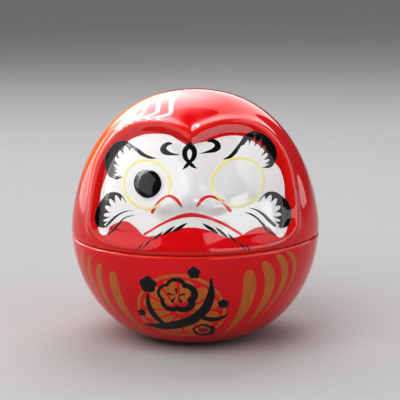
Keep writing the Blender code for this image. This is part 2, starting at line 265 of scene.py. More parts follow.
def through(knots, steps, closed=False):
    """Catmull-Rom curve through knots: each span is the cubic whose end slopes are half the
    difference of the neighbouring knots."""
    knots = np.asarray(knots, dtype=float)
    if closed:
        before, after, beyond = (np.roll(knots, shift, axis=0) for shift in (1, -1, -2))
        start = knots
    else:
        run = np.vstack([2 * knots[0] - knots[1], knots, 2 * knots[-1] - knots[-2]])
        before, start, after, beyond = run[:-3], run[1:-2], run[2:-1], run[3:]
    t = (np.arange(steps) / steps)[None, :, None]
    before, start, after, beyond = (side[:, None, :] for side in (before, start, after, beyond))
    curve = 0.5 * (
        2 * start + (after - before) * t
        + (2 * before - 5 * start + 4 * after - beyond) * t ** 2
        + (3 * start - before - 3 * after + beyond) * t ** 3
    )
    curve = curve.reshape(-1, knots.shape[1])
    return curve if closed else np.vstack([curve, knots[-1]])


def travelled(curve):
    """Distance along a polyline from its first point to each of its points."""
    steps = np.linalg.norm(np.diff(curve, axis=0), axis=1)
    return np.concatenate(([0.0], np.cumsum(steps)))


def evenly(curve, step):
    """The same curve cut at even distances of about one step."""
    distance = travelled(curve)
    places = np.linspace(0.0, distance[-1], max(2, int(round(distance[-1] / step)) + 1))
    return np.stack([np.interp(places, distance, curve[:, axis]) for axis in (0, 1)], axis=1)


def outward(curve):
    """Unit normals of a profile that climbs: its tangent turned a quarter clockwise."""
    tangent = np.gradient(curve, axis=0)
    normal = np.stack([tangent[:, 1], -tangent[:, 0]], axis=1)
    return normal / np.linalg.norm(normal, axis=1)[:, None]


def smoothstep(low, high, value):
    """3 t^2 - 2 t^3 of the value's share t of the way from low to high."""
    t = np.clip((value - low) / (high - low), 0.0, 1.0)
    return t * t * (3 - 2 * t)


def body_curves():
    """Outer profile (radius, height): one Bezier arc up the flank and one over the dome."""
    (r1, h1), (r2, h2) = FLANK_HANDLES
    spread = HALF_WIDTH - FOOT_RADIUS
    flank = bezier(
        (FOOT_RADIUS, 0.0), (FOOT_RADIUS + r1 * spread, h1 * WIDEST_HEIGHT),
        (FOOT_RADIUS + r2 * spread, h2 * WIDEST_HEIGHT), (HALF_WIDTH, WIDEST_HEIGHT), PROFILE_SAMPLES)
    (r1, h1), (r2, h2) = DOME_HANDLES
    rise = BODY_HEIGHT - WIDEST_HEIGHT
    dome = bezier(
        (HALF_WIDTH, WIDEST_HEIGHT), (r1 * HALF_WIDTH, WIDEST_HEIGHT + h1 * rise),
        (r2 * HALF_WIDTH, WIDEST_HEIGHT + h2 * rise), (0.0, BODY_HEIGHT), PROFILE_SAMPLES)
    return flank, dome


FLANK, DOME = body_curves()
BODY = np.concatenate([FLANK, DOME[1:]])
BODY_CLIMB = travelled(BODY)
BODY_NORMAL = outward(BODY)

# Sizes that follow from the ones above.
SEAM_RADIUS = float(np.interp(SEAM_HEIGHT, BODY[:, 1], BODY[:, 0]))
LID_RIM_HEIGHT = SEAM_HEIGHT + FIT_GAP
BORE_RADIUS = SEAM_RADIUS - RIM_WALL
COLLAR_RADIUS = BORE_RADIUS - COLLAR_CLEARANCE
COLLAR_INNER_RADIUS = COLLAR_RADIUS - COLLAR_WALL
BORE_BOTTOM = COLLAR_BOTTOM - COLLAR_END_GAP
GROOVE_RADIUS = COLLAR_RADIUS - GROOVE_DEPTH
SEAL_MIDDLE = (SEAL_BOX[0][2] + SEAL_BOX[1][2]) / 2
SEAL_HALF_HEIGHT = (SEAL_BOX[1][2] - SEAL_BOX[0][2]) / 2
GROOVE_HALF_HEIGHT = SEAL_HALF_HEIGHT + FIT_GAP


def radius_at(height):
    """Radius of the round body at a height."""
    return np.interp(height, BODY[:, 1], BODY[:, 0])


def climb_at(height):
    """Distance up the body's profile from the foot to a height."""
    return np.interp(height, BODY[:, 1], BODY_CLIMB)


def on_profile(climb):
    """Radius, height and the two parts of the normal, at a distance up the body's profile."""
    columns = (BODY[:, 0], BODY[:, 1], BODY_NORMAL[:, 0], BODY_NORMAL[:, 1])
    return [np.interp(climb, BODY_CLIMB, column) for column in columns]


def from_front(marks):
    """(azimuth, climb) of places of the front elevation: azimuth is arcsin(across / radius)."""
    marks = np.asarray(marks, dtype=float) * MM
    across, up = marks[..., 0], marks[..., 1]
    return np.stack([np.arcsin(across / radius_at(up)), climb_at(up)], axis=-1)


def from_polar(marks):
    """(azimuth, climb) of places given as azimuth in degrees and height in millimetres."""
    marks = np.asarray(marks, dtype=float)
    return np.stack([np.radians(marks[..., 0]), climb_at(marks[..., 1] * MM)], axis=-1)


def unrolled(places):
    """Distance round and distance up, of places given as azimuth and climb."""
    return np.stack([on_profile(places[..., 1])[0] * places[..., 0], places[..., 1]], axis=-1)


# ---------------------------------------------------------------- relief of the hood and face


def relief_place(azimuth_degrees, share):
    """Unrolled place of a point given by azimuth and share of the lid's height."""
    height = SEAM_HEIGHT + np.asarray(share) * (BODY_HEIGHT - SEAM_HEIGHT)
    around = radius_at(height) * np.radians(azimuth_degrees)
    return np.stack([around, climb_at(height)], axis=-1)


def hood_outline():
    """Closed outline of the hood's edge, its left half the mirror of its right."""
    right = np.array(HOOD_EDGE)
    left = right[:0:-1] * (-1.0, 1.0)
    return through(relief_place(*np.concatenate([right, left]).T), HOOD_CURVE_STEPS, closed=True)


def distance_outside(places, outline):
    """Distance from each place to a closed outline, negative inside: the nearest point of every
    edge, and the winding number for the sign."""
    start = outline[None, :, :]
    edge = np.roll(outline, -1, axis=0)[None, :, :] - start
    square = np.maximum((edge ** 2).sum(2), 1e-18)
    result = []
    for part in np.array_split(places, max(1, len(places) // CHUNK)):
        offset = part[:, None, :] - start
        along = np.clip((offset * edge).sum(2) / square, 0.0, 1.0)
        nearest = np.sqrt(((offset - along[..., None] * edge) ** 2).sum(2).min(axis=1))
        below, above = offset[..., 1] >= 0.0, (offset - edge)[..., 1] >= 0.0
        side = edge[..., 0] * offset[..., 1] - edge[..., 1] * offset[..., 0]
        winding = (below & ~above & (side < 0)).sum(1) - (~below & above & (side > 0)).sum(1)
        result.append(np.where(winding != 0, -nearest, nearest))
    return np.concatenate(result)


def hood_ridge(outside):
    """The hood's swelling: a bell across the distance outside the hood's edge."""
    return np.exp(-((outside - RIDGE_OFFSET) / RIDGE_WIDTH) ** 2)


def relief(azimuth, climb):
    """Height of the hood and face above the round body, along its normal, and how far each place
    is outside the hood's edge.

    Inside the edge the face is sunk, outside it the hood swells in a ridge, bells and domes are
    added for the nose, cheeks, eyes and chin, a groove runs up from the hood's point, and all of
    it fades out towards the rim.
    """
    shape = azimuth.shape
    places = unrolled(np.stack([azimuth.ravel(), climb.ravel()], axis=-1))
    outside = distance_outside(places, hood_outline())
    sunk = FACE_RECESS * (1.0 - smoothstep(-RECESS_SLOPE / 3, RECESS_SLOPE, outside))
    height = RIDGE_HEIGHT * hood_ridge(outside) - sunk
    for degrees, share, bump, half_width, reach_up, reach_down in BELLS:
        offset = places - relief_place(degrees, share)
        reach = np.where(offset[:, 1] > 0.0, reach_up, reach_down) * MM
        height += bump * MM * np.exp(-(offset[:, 0] / (half_width * MM)) ** 2 - (offset[:, 1] / reach) ** 2)
    for degrees, share, dome_radius, bump, steepness in DOMES:
        offset = places - relief_place(degrees, share)
        square = (offset ** 2).sum(1) / (dome_radius * MM) ** 2
        height += bump * MM * np.clip(1.0 - square, 0.0, 1.0) ** steepness
    share = (on_profile(places[:, 1])[1] - SEAM_HEIGHT) / (BODY_HEIGHT - SEAM_HEIGHT)
    low, full, hold, gone = VALLEY_SHARES
    valley = smoothstep(low, full, share) * (1.0 - smoothstep(hold, gone, share))
    height -= VALLEY_DEPTH * valley * np.exp(-(places[:, 0] / VALLEY_WIDTH) ** 2)
    height *= smoothstep(0.0, RIM_FADE, places[:, 1] - climb_at(LID_RIM_HEIGHT + LIP_ROUNDING))
    return height.reshape(shape), outside.reshape(shape)


def skin(places, carved):
    """Points of the glaze: the round body at (azimuth, climb), pushed along its normal by the
    relief if it is carved."""
    azimuth, climb = places[..., 0], places[..., 1]
    radius, height, out, up = on_profile(climb)
    push = relief(azimuth, climb)[0] if carved else 0.0
    radius = radius + push * out
    return np.stack([radius * np.sin(azimuth), -radius * np.cos(azimuth), height + push * up], axis=-1)


# ---------------------------------------------------------------- meshes


def grid_quads(rows, columns, wrapped=False):
    """Corner numbers of the quads of a grid, with the last column joined to the first if wrapped."""
    numbers = np.arange(rows * columns).reshape(rows, columns)
    if wrapped:
        numbers = np.hstack([numbers, numbers[:, :1]])
    corners = (numbers[:-1, :-1], numbers[:-1, 1:], numbers[1:, 1:], numbers[1:, :-1])
    return np.stack([corner.ravel() for corner in corners], axis=1)


def new_piece(name, points, faces, attributes, materials, face_material=None, sharp=50.0):
    """A mesh object from arrays: doubles are merged, faces point out and shading is smooth."""
    mesh = bpy.data.meshes.new(name)
    mesh.from_pydata(points.reshape(-1, 3).tolist(), [], faces.tolist())
    for label, values in attributes.items():
        layer = mesh.attributes.new(label, "FLOAT", "POINT")
        layer.data.foreach_set("value", np.asarray(values, dtype=np.float32).ravel())
    if face_material is not None:
        mesh.polygons.foreach_set("material_index", np.asarray(face_material, dtype=np.int32))
    bm = bmesh.new()
    bm.from_mesh(mesh)
    bmesh.ops.remove_doubles(bm, verts=bm.verts, dist=MERGE_DISTANCE)
    bmesh.ops.recalc_face_normals(bm, faces=bm.faces)
    bm.to_mesh(mesh)
    bm.free()
    mesh.shade_smooth()
    mesh.set_sharp_from_angle(angle=radians(sharp))
    for material in materials:
        mesh.materials.append(material)
    obj = bpy.data.objects.new(name, mesh)
    bpy.context.scene.collection.objects.link(obj)
    return obj


def enamel(name, places, edge, top, material, on_lid=True, wrapped=False):
    """A closed skin of enamel over a grid of places.

    Its top rises from the sunk edge to the lift as a quarter circle over the edge's width, where
    edge is each place's distance to the border.  Its bottom lies below the glaze.
    """
    sizes = bpy.context.scene.daruma_enamel
    share = np.clip(edge / sizes.edge_width, 0.0, 1.0)
    thick = np.sqrt(np.clip(1.0 - (1.0 - share) ** 2, 0.0, 1.0))
    base = skin(places, on_lid)
    azimuth, climb = places[..., 0], places[..., 1]
    out, up = on_profile(climb)[2:]
    normal = np.stack([out * np.sin(azimuth), -out * np.cos(azimuth), up], axis=-1)
    upper = base + ((top + sizes.sink) * thick - sizes.sink)[..., None] * normal
    lower = base - sizes.sink * normal
    rows, columns = edge.shape
    quads = grid_quads(rows, columns, wrapped)
    points = np.concatenate([upper.reshape(-1, 3), lower.reshape(-1, 3)])
    faces = np.concatenate([quads, quads[:, ::-1] + rows * columns])
    along, across = np.meshgrid(np.linspace(0, 1, columns), np.linspace(0, 1, rows))
    double = {
        "thick": np.concatenate([thick.ravel(), thick.ravel()]),
        "along": np.concatenate([along.ravel(), along.ravel()]),
        "across": np.concatenate([across.ravel(), across.ravel()]),
    }
    piece = new_piece(name, points, faces, double, [material])
    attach(piece, "lid" if on_lid else "bowl")
    return piece


def towards_ends(run):
    """A curve's points moved along it so that they crowd towards both ends: half evenly and half
    as a cosine."""
    share = np.linspace(0.0, 1.0, len(run))
    share = (share + (1.0 - np.cos(pi * share)) / 2) / 2
    distance = travelled(unrolled(run[:, :2]))
    return np.stack([np.interp(share * distance[-1], distance, column) for column in run.T], axis=1)


def stroke(name, knots, widths, top, material, on_lid=True, closed=False, steps=STROKE_STEPS):
    """A brush stroke: a Catmull-Rom curve through (azimuth, climb) knots, swept by cross lines
    that stand square to it on the skin and are as long as the width there, with half round
    ends."""
    run = through(np.column_stack([knots, np.broadcast_to(widths, len(knots))]), steps, closed)
    if not closed:
        run = towards_ends(run)
    path, half = run[:, :2], np.maximum(run[:, 2], LEAST_WIDTH) / 2
    metric = np.stack([on_profile(path[:, 1])[0], np.ones(len(path))], axis=1)
    if closed:
        tangent = (np.roll(path, -1, axis=0) - np.roll(path, 1, axis=0)) * metric
    else:
        tangent = np.gradient(path, axis=0) * metric
    length = np.linalg.norm(tangent, axis=1)[:, None]
    side = np.stack([-tangent[:, 1], tangent[:, 0]], axis=1) / length
    across = np.sin(np.linspace(-pi / 2, pi / 2, STROKE_ROWS))
    if not closed:
        distance = travelled(unrolled(path))
        from_ends = np.minimum(distance, distance[-1] - distance)
        inset = np.clip(half - from_ends, 0.0, half)
        half = np.maximum(np.sqrt(half ** 2 - inset ** 2), LEAST_WIDTH / 2)
    places = path[None] + across[:, None, None] * (half[:, None] * side / metric)[None]
    edge = (1.0 - np.abs(across))[:, None] * half[None]
    if not closed:
        edge = np.minimum(edge, from_ends[None])
    return enamel(name, places, edge, top, material, on_lid, closed)


def sheet(name, first_edge, second_edge, top, material, on_lid=True, rows=SHEET_ROWS):
    """A patch ruled between two edge curves of equally many (azimuth, climb) points, with the
    rulings closer together towards both edges."""
    share = (1.0 - np.cos(np.linspace(0.0, pi, rows))) / 2
    places = first_edge[None] + share[:, None, None] * (second_edge - first_edge)[None]
    outline = unrolled(np.concatenate([first_edge, second_edge[::-1]]))
    edge = np.abs(distance_outside(unrolled(places).reshape(-1, 2), outline)).reshape(places.shape[:2])
    edge[0] = edge[-1] = 0.0
    edge[:, 0] = edge[:, -1] = 0.0
    return enamel(name, places, edge, top, material, on_lid)


def rounded(points, radius):
    """A polyline with each inner corner replaced by a parabola that starts and ends one radius
    from it, or half an edge where that is less."""
    points = np.asarray(points, dtype=float)
    t = np.linspace(0.0, 1.0, CORNER_ROWS + 1)[:, None]
    pieces = [points[:1]]
    for before, corner, after in zip(points[:-2], points[1:-1], points[2:]):
        start, end = (
            corner + (side - corner) * min(0.5, radius / np.linalg.norm(side - corner))
            for side in (before, after)
        )
        pieces.append((1 - t) ** 2 * start + 2 * (1 - t) * t * corner + t ** 2 * end)
    pieces.append(points[-1:])
    return np.concatenate(pieces)


def quarter_turn(centre, radius, start_angle, end_angle, rows):
    """Points of an arc in the profile's plane, from one angle in degrees to another."""
    angles = np.radians(np.linspace(start_angle, end_angle, rows + 1))
    return np.stack([centre[0] + radius * np.cos(angles), centre[1] + radius * np.sin(angles)], axis=1)


def turned(profile, azimuths):
    """A half section (radius, height) carried round the jar's axis."""
    radius, height = profile[:, :1], profile[:, 1:]
    return np.stack(
        [radius * np.sin(azimuths), -radius * np.cos(azimuths), height + 0.0 * azimuths], axis=-1)


# ---------------------------------------------------------------- shader maths


class Wire:
    """One value in a shader.  Arithmetic on it adds Math nodes."""

    def __init__(self, graph, socket):
        self.graph, self.socket = graph, socket

    def maths(self, operation, first, second):
        return self.graph.node("ShaderNodeMath", {"operation": operation}, {0: first, 1: second})

    def __add__(self, other):
        return self.maths("ADD", self, other)

    def __sub__(self, other):
        return self.maths("SUBTRACT", self, other)

    def __rsub__(self, other):
        return self.maths("SUBTRACT", other, self)

    def __mul__(self, other):
        return self.maths("MULTIPLY", self, other)

    def __pow__(self, other):
        return self.maths("POWER", self, other)

    __radd__ = __add__
    __rmul__ = __mul__


class Graph:
    """A node tree being filled in, with short ways to add nodes."""

    def __init__(self, tree):
        self.tree = tree

    def node(self, kind, settings=None, inputs=None, output=0):
        """A node of a kind, its settings made first, then its sockets' values or links."""
        node = self.tree.nodes.new(kind)
        for setting, value in (settings or {}).items():
            if setting == "stops":
                self.set_stops(node.color_ramp.elements, value)
            else:
                setattr(node, setting, value)
        for socket, value in (inputs or {}).items():
            if isinstance(value, Wire):
                self.tree.links.new(value.socket, node.inputs[socket])
            else:
                node.inputs[socket].default_value = value
        return Wire(self, node.outputs[output])

    @staticmethod
    def set_stops(elements, stops):
        """Give a ramp its stops, each a position and a grey value."""
        while len(elements) < len(stops):
            elements.new(1.0)
        for element, (position, grey) in zip(elements, stops):
            element.position = position
            element.color = (grey, grey, grey, 1.0)

    def ramp(self, value, *stops):
        """A value passed through a ramp of (position, grey) stops."""
        return self.node("ShaderNodeValToRGB", {"stops": stops}, {0: value})

    def mix(self, factor, first, second):
        """A colour between two, by a factor from 0 to 1."""
        first, second = (
            value if isinstance(value, Wire) else (*value[:3], 1.0) for value in (first, second))
        return self.node(
            "ShaderNodeMix", {"data_type": "RGBA"}, {0: factor, 6: first, 7: second}, output=2)


class Finish(Graph):
    """A material being made, with its Principled shader and patterns in the object's metres."""

    def __init__(self, name, **constants):
        self.material = bpy.data.materials.new(name)
        self.material.use_nodes = True
        super().__init__(self.material.node_tree)
        self.shader = self.tree.nodes["Principled BSDF"]
        for socket, value in constants.items():
            self.shader.inputs[socket.replace("_", " ")].default_value = value
        self.place = self.node("ShaderNodeTexCoord", output="Object")
        self.colours = bpy.context.scene.daruma_colours

    def clouds(self, scale, detail=3.0, stretch=None):
        """Soft noise from 0 to 1, with so many waves to the metre."""
        vector = self.place if stretch is None else self.node(
            "ShaderNodeMapping", None, {"Vector": self.place, "Scale": stretch})
        inputs = {"Vector": vector, "Scale": scale, "Detail": detail, "Roughness": 0.55}
        return self.node("ShaderNodeTexNoise", None, inputs)

    def spots(self, scale, size, share):
        """Small round spots: 1 inside them, on the share of the cells that a second noise picks."""
        cells = self.node("ShaderNodeTexVoronoi", None, {"Vector": self.place, "Scale": scale})
        inside = self.ramp(cells, (0.0, 1.0), (size, 0.0))
        chosen = self.ramp(self.clouds(scale * 0.37, 1.0), (1.0 - share - 0.04, 0.0), (1.0 - share, 1.0))
        return inside * chosen

    def attribute(self, label):
        """A value stored on the mesh."""
        return self.node("ShaderNodeAttribute", {"attribute_name": label}, output="Fac")

    def bump(self, height, distance):
        """Feed a height, in shares of a distance in metres, to the shader's normal."""
        normal = self.node(
            "ShaderNodeBump", None, {"Height": height, "Distance": distance, "Strength": 1.0},
            output="Normal")
        self.feed(Normal=normal)

    def feed(self, **links):
        """Link values to the shader's sockets."""
        for socket, wire in links.items():
            self.tree.links.new(wire.socket, self.shader.inputs[socket.replace("_", " ")])


def finish_by(maker, name=None):
    """The material that a maker makes the first time it is asked for, named after the maker
    unless it has a name of its own."""
    name = name or maker.__name__
    return bpy.data.materials.get(name) or maker(name)


def red_glaze(name):
    """Deep red gloss glaze: painted shade darkens it at the foot and in the hood's crease, it runs thin
    and warmer on crests and lips, and has a faint orange peel, pinholes and a few iron specks."""
    finish = Finish(name, IOR=1.5, Specular_IOR_Level=0.32)
    pooled = finish.ramp(finish.clouds(55.0, 4.0), (0.35, 0.0), (0.7, 1.0)) * 0.35
    # The deep red where the attribute is high is painted shade: at the foot and in the hood's crease.
    colour = finish.mix(pooled + finish.attribute("pool") * 0.75, finish.colours.red, finish.colours.red_deep)
    streaks = finish.clouds(420.0, 2.0, (1.0, 1.0, 0.35))
    colour = finish.mix(finish.attribute("thin") * (0.45 + streaks * 0.5), colour, finish.colours.red_thin)
    specks = finish.spots(260.0, 0.09, 0.36)
    colour = finish.mix(specks * 0.6, colour, (0.06, 0.004, 0.004))
    smears = finish.clouds(38.0, 5.0)
    finish.feed(
        Base_Color=colour,
        Roughness=0.04 + finish.ramp(smears, (0.45, 0.0), (0.75, 1.0)) * 0.07 + specks * 0.1,
    )
    peel = finish.clouds(190.0, 2.0) * 0.55 + finish.clouds(900.0, 2.0) * 0.06
    pits = finish.spots(330.0, 0.07, 0.4)
    finish.bump(peel - pits * 0.5 + specks * 0.1, 0.02 * MM)
    return finish.material


def white_enamel(name):
    """Milky white face enamel, brushed on thickly: faint brush ridges, mottling, pinholes, and a
    rosy edge where the red glaze below shows through."""
    finish = Finish(name, IOR=1.5)
    mottled = finish.ramp(finish.clouds(120.0, 4.0), (0.3, 0.0), (0.75, 1.0))
    colour = finish.mix(mottled * 0.5, finish.colours.white, (0.72, 0.70, 0.70))
    border = (1.0 - finish.attribute("thick")) ** 1.5
    colour = finish.mix(border * 0.65, colour, (0.76, 0.30, 0.27))
    pits = finish.spots(420.0, 0.06, 0.38)
    colour = finish.mix(pits * 0.4, colour, (0.45, 0.40, 0.38))
    ridges = finish.clouds(260.0, 3.0, (1.0, 1.0, 5.0))
    finish.feed(
        Base_Color=colour,
        Roughness=0.07 + finish.clouds(70.0, 4.0) * 0.08,
    )
    finish.bump(ridges * 0.3 + finish.clouds(150.0, 2.0) * 0.6 - pits * 0.4, 0.03 * MM)
    return finish.material


def painted(name, colour, dry_colour, streak, roughness, wear=0.0, worn_colour=(1, 1, 1)):
    """Brushed enamel: streaks run along the stroke, the edge and the dry end take the second
    colour, and worn patches the third.  A colour is a triple or the name of a setting."""
    finish = Finish(name, IOR=1.5, Specular_IOR_Level=0.32)
    colour, dry_colour = (
        getattr(finish.colours, value) if isinstance(value, str) else value
        for value in (colour, dry_colour))
    along, across = finish.attribute("along"), finish.attribute("across")
    line = finish.node("ShaderNodeCombineXYZ", None, {0: along * 1.6, 1: across * 9.0})
    hairs = finish.node("ShaderNodeTexNoise", None, {"Vector": line, "Scale": 2.2, "Detail": 4.0})
    hairs = finish.ramp(hairs, (0.35, 0.0), (0.68, 1.0))
    dry = hairs * streak + (1.0 - finish.attribute("thick")) * 0.5
    shade = finish.mix(finish.node("ShaderNodeClamp", None, {0: dry}), colour, dry_colour)
    if wear:
        patches = finish.ramp(finish.clouds(140.0, 3.0), (0.47, 0.0), (0.66, 1.0))
        shade = finish.mix(patches * wear, shade, worn_colour)
    finish.feed(
        Base_Color=shade,
        Roughness=roughness + hairs * 0.05,
    )
    finish.bump(hairs * 0.35 + finish.clouds(500.0, 2.0) * 0.3, 0.012 * MM)
    return finish.material


def black_enamel(name):
    """Black enamel with a faint grey where the brush ran thin."""
    return painted(name, "black", (0.012, 0.011, 0.012), 0.5, 0.05)


def line_red(name):
    """Translucent red line enamel."""
    return painted(name, "line_red", (0.80, 0.07, 0.08), 0.6, 0.07)


def eye_yellow(name):
    """Pale yellow enamel, rubbed away to the white in patches."""
    return painted(
        name, "yellow", (0.84, 0.78, 0.45), 0.7, 0.09, wear=0.55, worn_colour=(0.82, 0.79, 0.68))


def copper_paint(name):
    """Copper lustre under a clear glaze, streaked by the brush."""
    return painted(name, "copper", "copper_dark", 0.8, 0.16)


def inner_glaze(name):
    """White glaze inside the jar, with specks and a soft wave."""
    finish = Finish(name, IOR=1.5)
    specks = finish.spots(240.0, 0.08, 0.4)
    colour = finish.mix(finish.clouds(60.0, 4.0) * 0.5, finish.colours.inner_white, (0.70, 0.66, 0.58))
    finish.feed(
        Base_Color=finish.mix(specks * 0.7, colour, (0.20, 0.13, 0.08)),
        Roughness=0.08 + finish.clouds(80.0, 3.0) * 0.1,
    )
    finish.bump(finish.clouds(110.0, 2.0) * 0.8 + specks * 0.2, 0.03 * MM)
    return finish.material


def bare_clay(name):
    """Unglazed stoneware, wiped before firing: fine grain, wheel lines and dark grog."""
    finish = Finish(name, IOR=1.45, Specular_IOR_Level=0.3)
    grain = finish.clouds(1500.0, 4.0)
    lines = finish.clouds(240.0, 2.0, (0.05, 0.05, 8.0))
    grog = finish.spots(800.0, 0.2, 0.42)
    colour = finish.mix(finish.clouds(90.0, 4.0), finish.colours.clay, (0.50, 0.42, 0.33))
    finish.feed(
        Base_Color=finish.mix(grog * 0.6, colour, (0.20, 0.14, 0.10)),
        Roughness=0.72 + grain * 0.2,
    )
    finish.bump(grain * 0.7 + lines * 0.5 - grog * 0.3, 0.06 * MM)
    return finish.material


def seal_silicone(name):
    """Milky silicone rubber with a moulded satin skin and a little dust."""
    finish = Finish(name, IOR=1.41)
    dust = finish.ramp(finish.clouds(320.0, 5.0), (0.5, 0.0), (0.75, 1.0))
    finish.feed(
        Base_Color=finish.mix(dust * 0.35, finish.colours.silicone, (0.58, 0.57, 0.54)),
        Roughness=0.42 + dust * 0.2,
    )
    finish.bump(finish.clouds(1800.0, 3.0), 0.02 * MM)
    return finish.material


def floor_plaster(name):
    """Pale trowelled plaster: broad clouds and a fine tooth."""
    finish = Finish(name, Specular_IOR_Level=0.0)
    clouds = finish.clouds(9.0, 6.0)
    tooth = finish.clouds(260.0, 4.0)
    finish.feed(
        Base_Color=finish.mix(clouds * 0.5 + tooth * 0.2, finish.colours.floor, (0.46, 0.46, 0.465)),
        Roughness=0.38 + tooth * 0.25,
    )
    finish.bump(tooth * 0.5 + clouds * 0.5, 0.15 * MM)
    return finish.material


# ---------------------------------------------------------------- shells and ring


def glazes(red_name):
    """The three finishes of a shell: red outside, white inside and bare clay on the seats."""
    return [
        finish_by(red_glaze, red_name),
        finish_by(inner_glaze),
        finish_by(bare_clay),
    ]


RED, WHITE, CLAY = range(3)


def shell(name, groups, azimuths, carve):
    """A turned shell from groups of (profile points, finish).

    Each group's last point is shared with the next group's first.  carve gives the push of each
    row and column along the body's normal, and what the glaze stores.
    """
    profile = np.concatenate([points for points, _ in groups])
    finish = np.concatenate([np.full(len(points), number) for points, number in groups])
    points, attributes = carve(profile, azimuths)
    rows, columns = len(profile), len(azimuths)
    quads = grid_quads(rows, columns, wrapped=True)
    bands = np.repeat(finish[:-1], columns)
    return new_piece(name, points, quads, attributes, glazes(name + "_red"), bands, sharp=40.0)


def bowl_groups():
    """The bowl's half section: underside, foot ring, flank and lip, seat and bore, inside."""
    foot_inner = FOOT_RADIUS - FOOT_RING_WIDTH
    lip_height = SEAM_HEIGHT - LIP_ROUNDING
    lip_centre = (SEAM_RADIUS - LIP_ROUNDING, lip_height)
    flank = evenly(FLANK[(FLANK[:, 1] > CORNER) & (FLANK[:, 1] < lip_height)], OUTER_STEP)
    foot = rounded([
        (0.0, FOOT_RECESS), (foot_inner - CORNER, FOOT_RECESS), (foot_inner, 0.0),
        (FOOT_RADIUS - CORNER / 4, 0.0), tuple(flank[0]),
    ], CORNER)
    lip = quarter_turn(lip_centre, LIP_ROUNDING, 0, 90, LIP_ROWS)
    inner = (FLANK - BOWL_WALL * outward(FLANK))[FLANK[:, 1] < BORE_BOTTOM - CORNER]
    above_floor = inner[:, 1] - FLOOR_HEIGHT
    fillet = np.maximum(FLOOR_ROUNDING - np.abs(above_floor), 0.0) ** 2 / (4 * FLOOR_ROUNDING)
    inner[:, 1] = FLOOR_HEIGHT + np.maximum(above_floor, 0.0) + fillet
    inner = evenly(inner, INNER_STEP)[::-1]
    seat = rounded([
        tuple(lip[-1]), (BORE_RADIUS, SEAM_HEIGHT), (BORE_RADIUS, BORE_BOTTOM), tuple(inner[0]),
    ], CORNER)
    floor = np.array([(0.0, FLOOR_HEIGHT)])
    return (
        (foot, CLAY), (flank, RED), (lip, RED), (seat, CLAY), (inner, WHITE), (floor, WHITE),
    )


def lid_groups():
    """The lid's half section: dome and skirt, rim, seat and collar, shoulder and inside."""
    lip_height = LID_RIM_HEIGHT + LIP_ROUNDING
    outside = np.concatenate([DOME[::-1], FLANK[::-1][1:]])
    outside = evenly(outside[outside[:, 1] > lip_height], OUTER_STEP)
    lip_centre = (radius_at(lip_height) - LIP_ROUNDING, lip_height)
    rim = quarter_turn(lip_centre, LIP_ROUNDING, 0, -90, LIP_ROWS)
    inner = DOME - LID_WALL * outward(DOME)
    inner[-1, 0] = 0.0
    inner = inner[inner[:, 1] > LID_RIM_HEIGHT + 2 * LID_WALL]
    start = np.array((COLLAR_INNER_RADIUS, LID_RIM_HEIGHT))
    reach = (inner[0, 1] - start[1]) / 2
    shoulder = bezier(start, start + (0, reach), inner[0] - (0, reach), inner[0], 9)[:-1]
    collar = rounded([
        tuple(rim[-1]),
        (COLLAR_RADIUS, LID_RIM_HEIGHT),
        (COLLAR_RADIUS, SEAL_MIDDLE + GROOVE_HALF_HEIGHT),
        (GROOVE_RADIUS, SEAL_MIDDLE + GROOVE_HALF_HEIGHT),
        (GROOVE_RADIUS, SEAL_MIDDLE - GROOVE_HALF_HEIGHT),
        (COLLAR_RADIUS, SEAL_MIDDLE - GROOVE_HALF_HEIGHT),
        (COLLAR_RADIUS, COLLAR_BOTTOM),
        (COLLAR_INNER_RADIUS, COLLAR_BOTTOM),
        tuple(shoulder[0]),
    ], CORNER)
    return (
        (outside, RED), (rim, RED), (collar, CLAY), (shoulder, WHITE), (evenly(inner, INNER_STEP), WHITE),
    )


def plain_turn(profile, azimuths):
    """A turned surface with no relief.  The glaze runs thin on the lip, and painted shade darkens it towards
    the foot.
    """
    height = np.broadcast_to(profile[:, 1:], (len(profile), len(azimuths)))
    thin = np.exp(-((height - SEAM_HEIGHT) / BOWL_LIP_THIN) ** 2)
    # Painted shade: the red darkens towards the foot.
    pool = 1.0 - smoothstep(0.0, FOOT_SHADE, height)
    return turned(profile, azimuths), {"thin": thin, "pool": pool}


def carved_turn(profile, azimuths):
    """A turned surface pushed out by the relief: wholly outside, less inside, not on the collar.

    The glaze runs thin on the hood's crest and on the rim, and painted shade darkens it in the crease
    along the hood's edge.
    """
    crown = int(np.argmin(profile[:, 1]))
    outside = (np.arange(len(profile)) < crown) & (profile[:, 1] > LID_RIM_HEIGHT + LIP_ROUNDING)
    inner_skin = BODY - LID_WALL * BODY_NORMAL
    dome = inner_skin[:, 1] > LID_RIM_HEIGHT
    matching = np.interp(profile[:, 1], inner_skin[dome, 1], BODY[dome, 1])
    inside = (np.arange(len(profile)) > crown) & (profile[:, 1] > LID_RIM_HEIGHT + 2 * LID_WALL)
    body_height = np.where(outside, profile[:, 1], matching)
    climb = np.broadcast_to(climb_at(body_height)[:, None], (len(profile), len(azimuths)))
    azimuth = np.broadcast_to(azimuths, climb.shape)
    height, hood_distance = relief(azimuth, climb)
    follow = np.where(outside, 1.0, np.where(inside, INNER_RELIEF, 0.0))[:, None]
    out, up = (part[:, None] for part in on_profile(climb_at(body_height))[2:])
    radius = profile[:, :1] + follow * height * out
    radius[profile[:, 0] < MERGE_DISTANCE] = 0.0
    points = np.stack([
        radius * np.sin(azimuths), -radius * np.cos(azimuths), profile[:, 1:] + follow * height * up,
    ], axis=-1)
    rim = np.exp(-((profile[:, 1:] - LID_RIM_HEIGHT) / LID_RIM_THIN) ** 2)
    thin = outside[:, None] * CREST_THIN * hood_ridge(hood_distance) + rim
    # Painted shade in the crease just outside the hood's edge.
    pool = np.exp(-((hood_distance - HOOD_SHADE_OFFSET) / HOOD_SHADE_WIDTH) ** 2) * outside[:, None]
    return points, {"thin": np.clip(thin, 0.0, 1.0), "pool": pool}


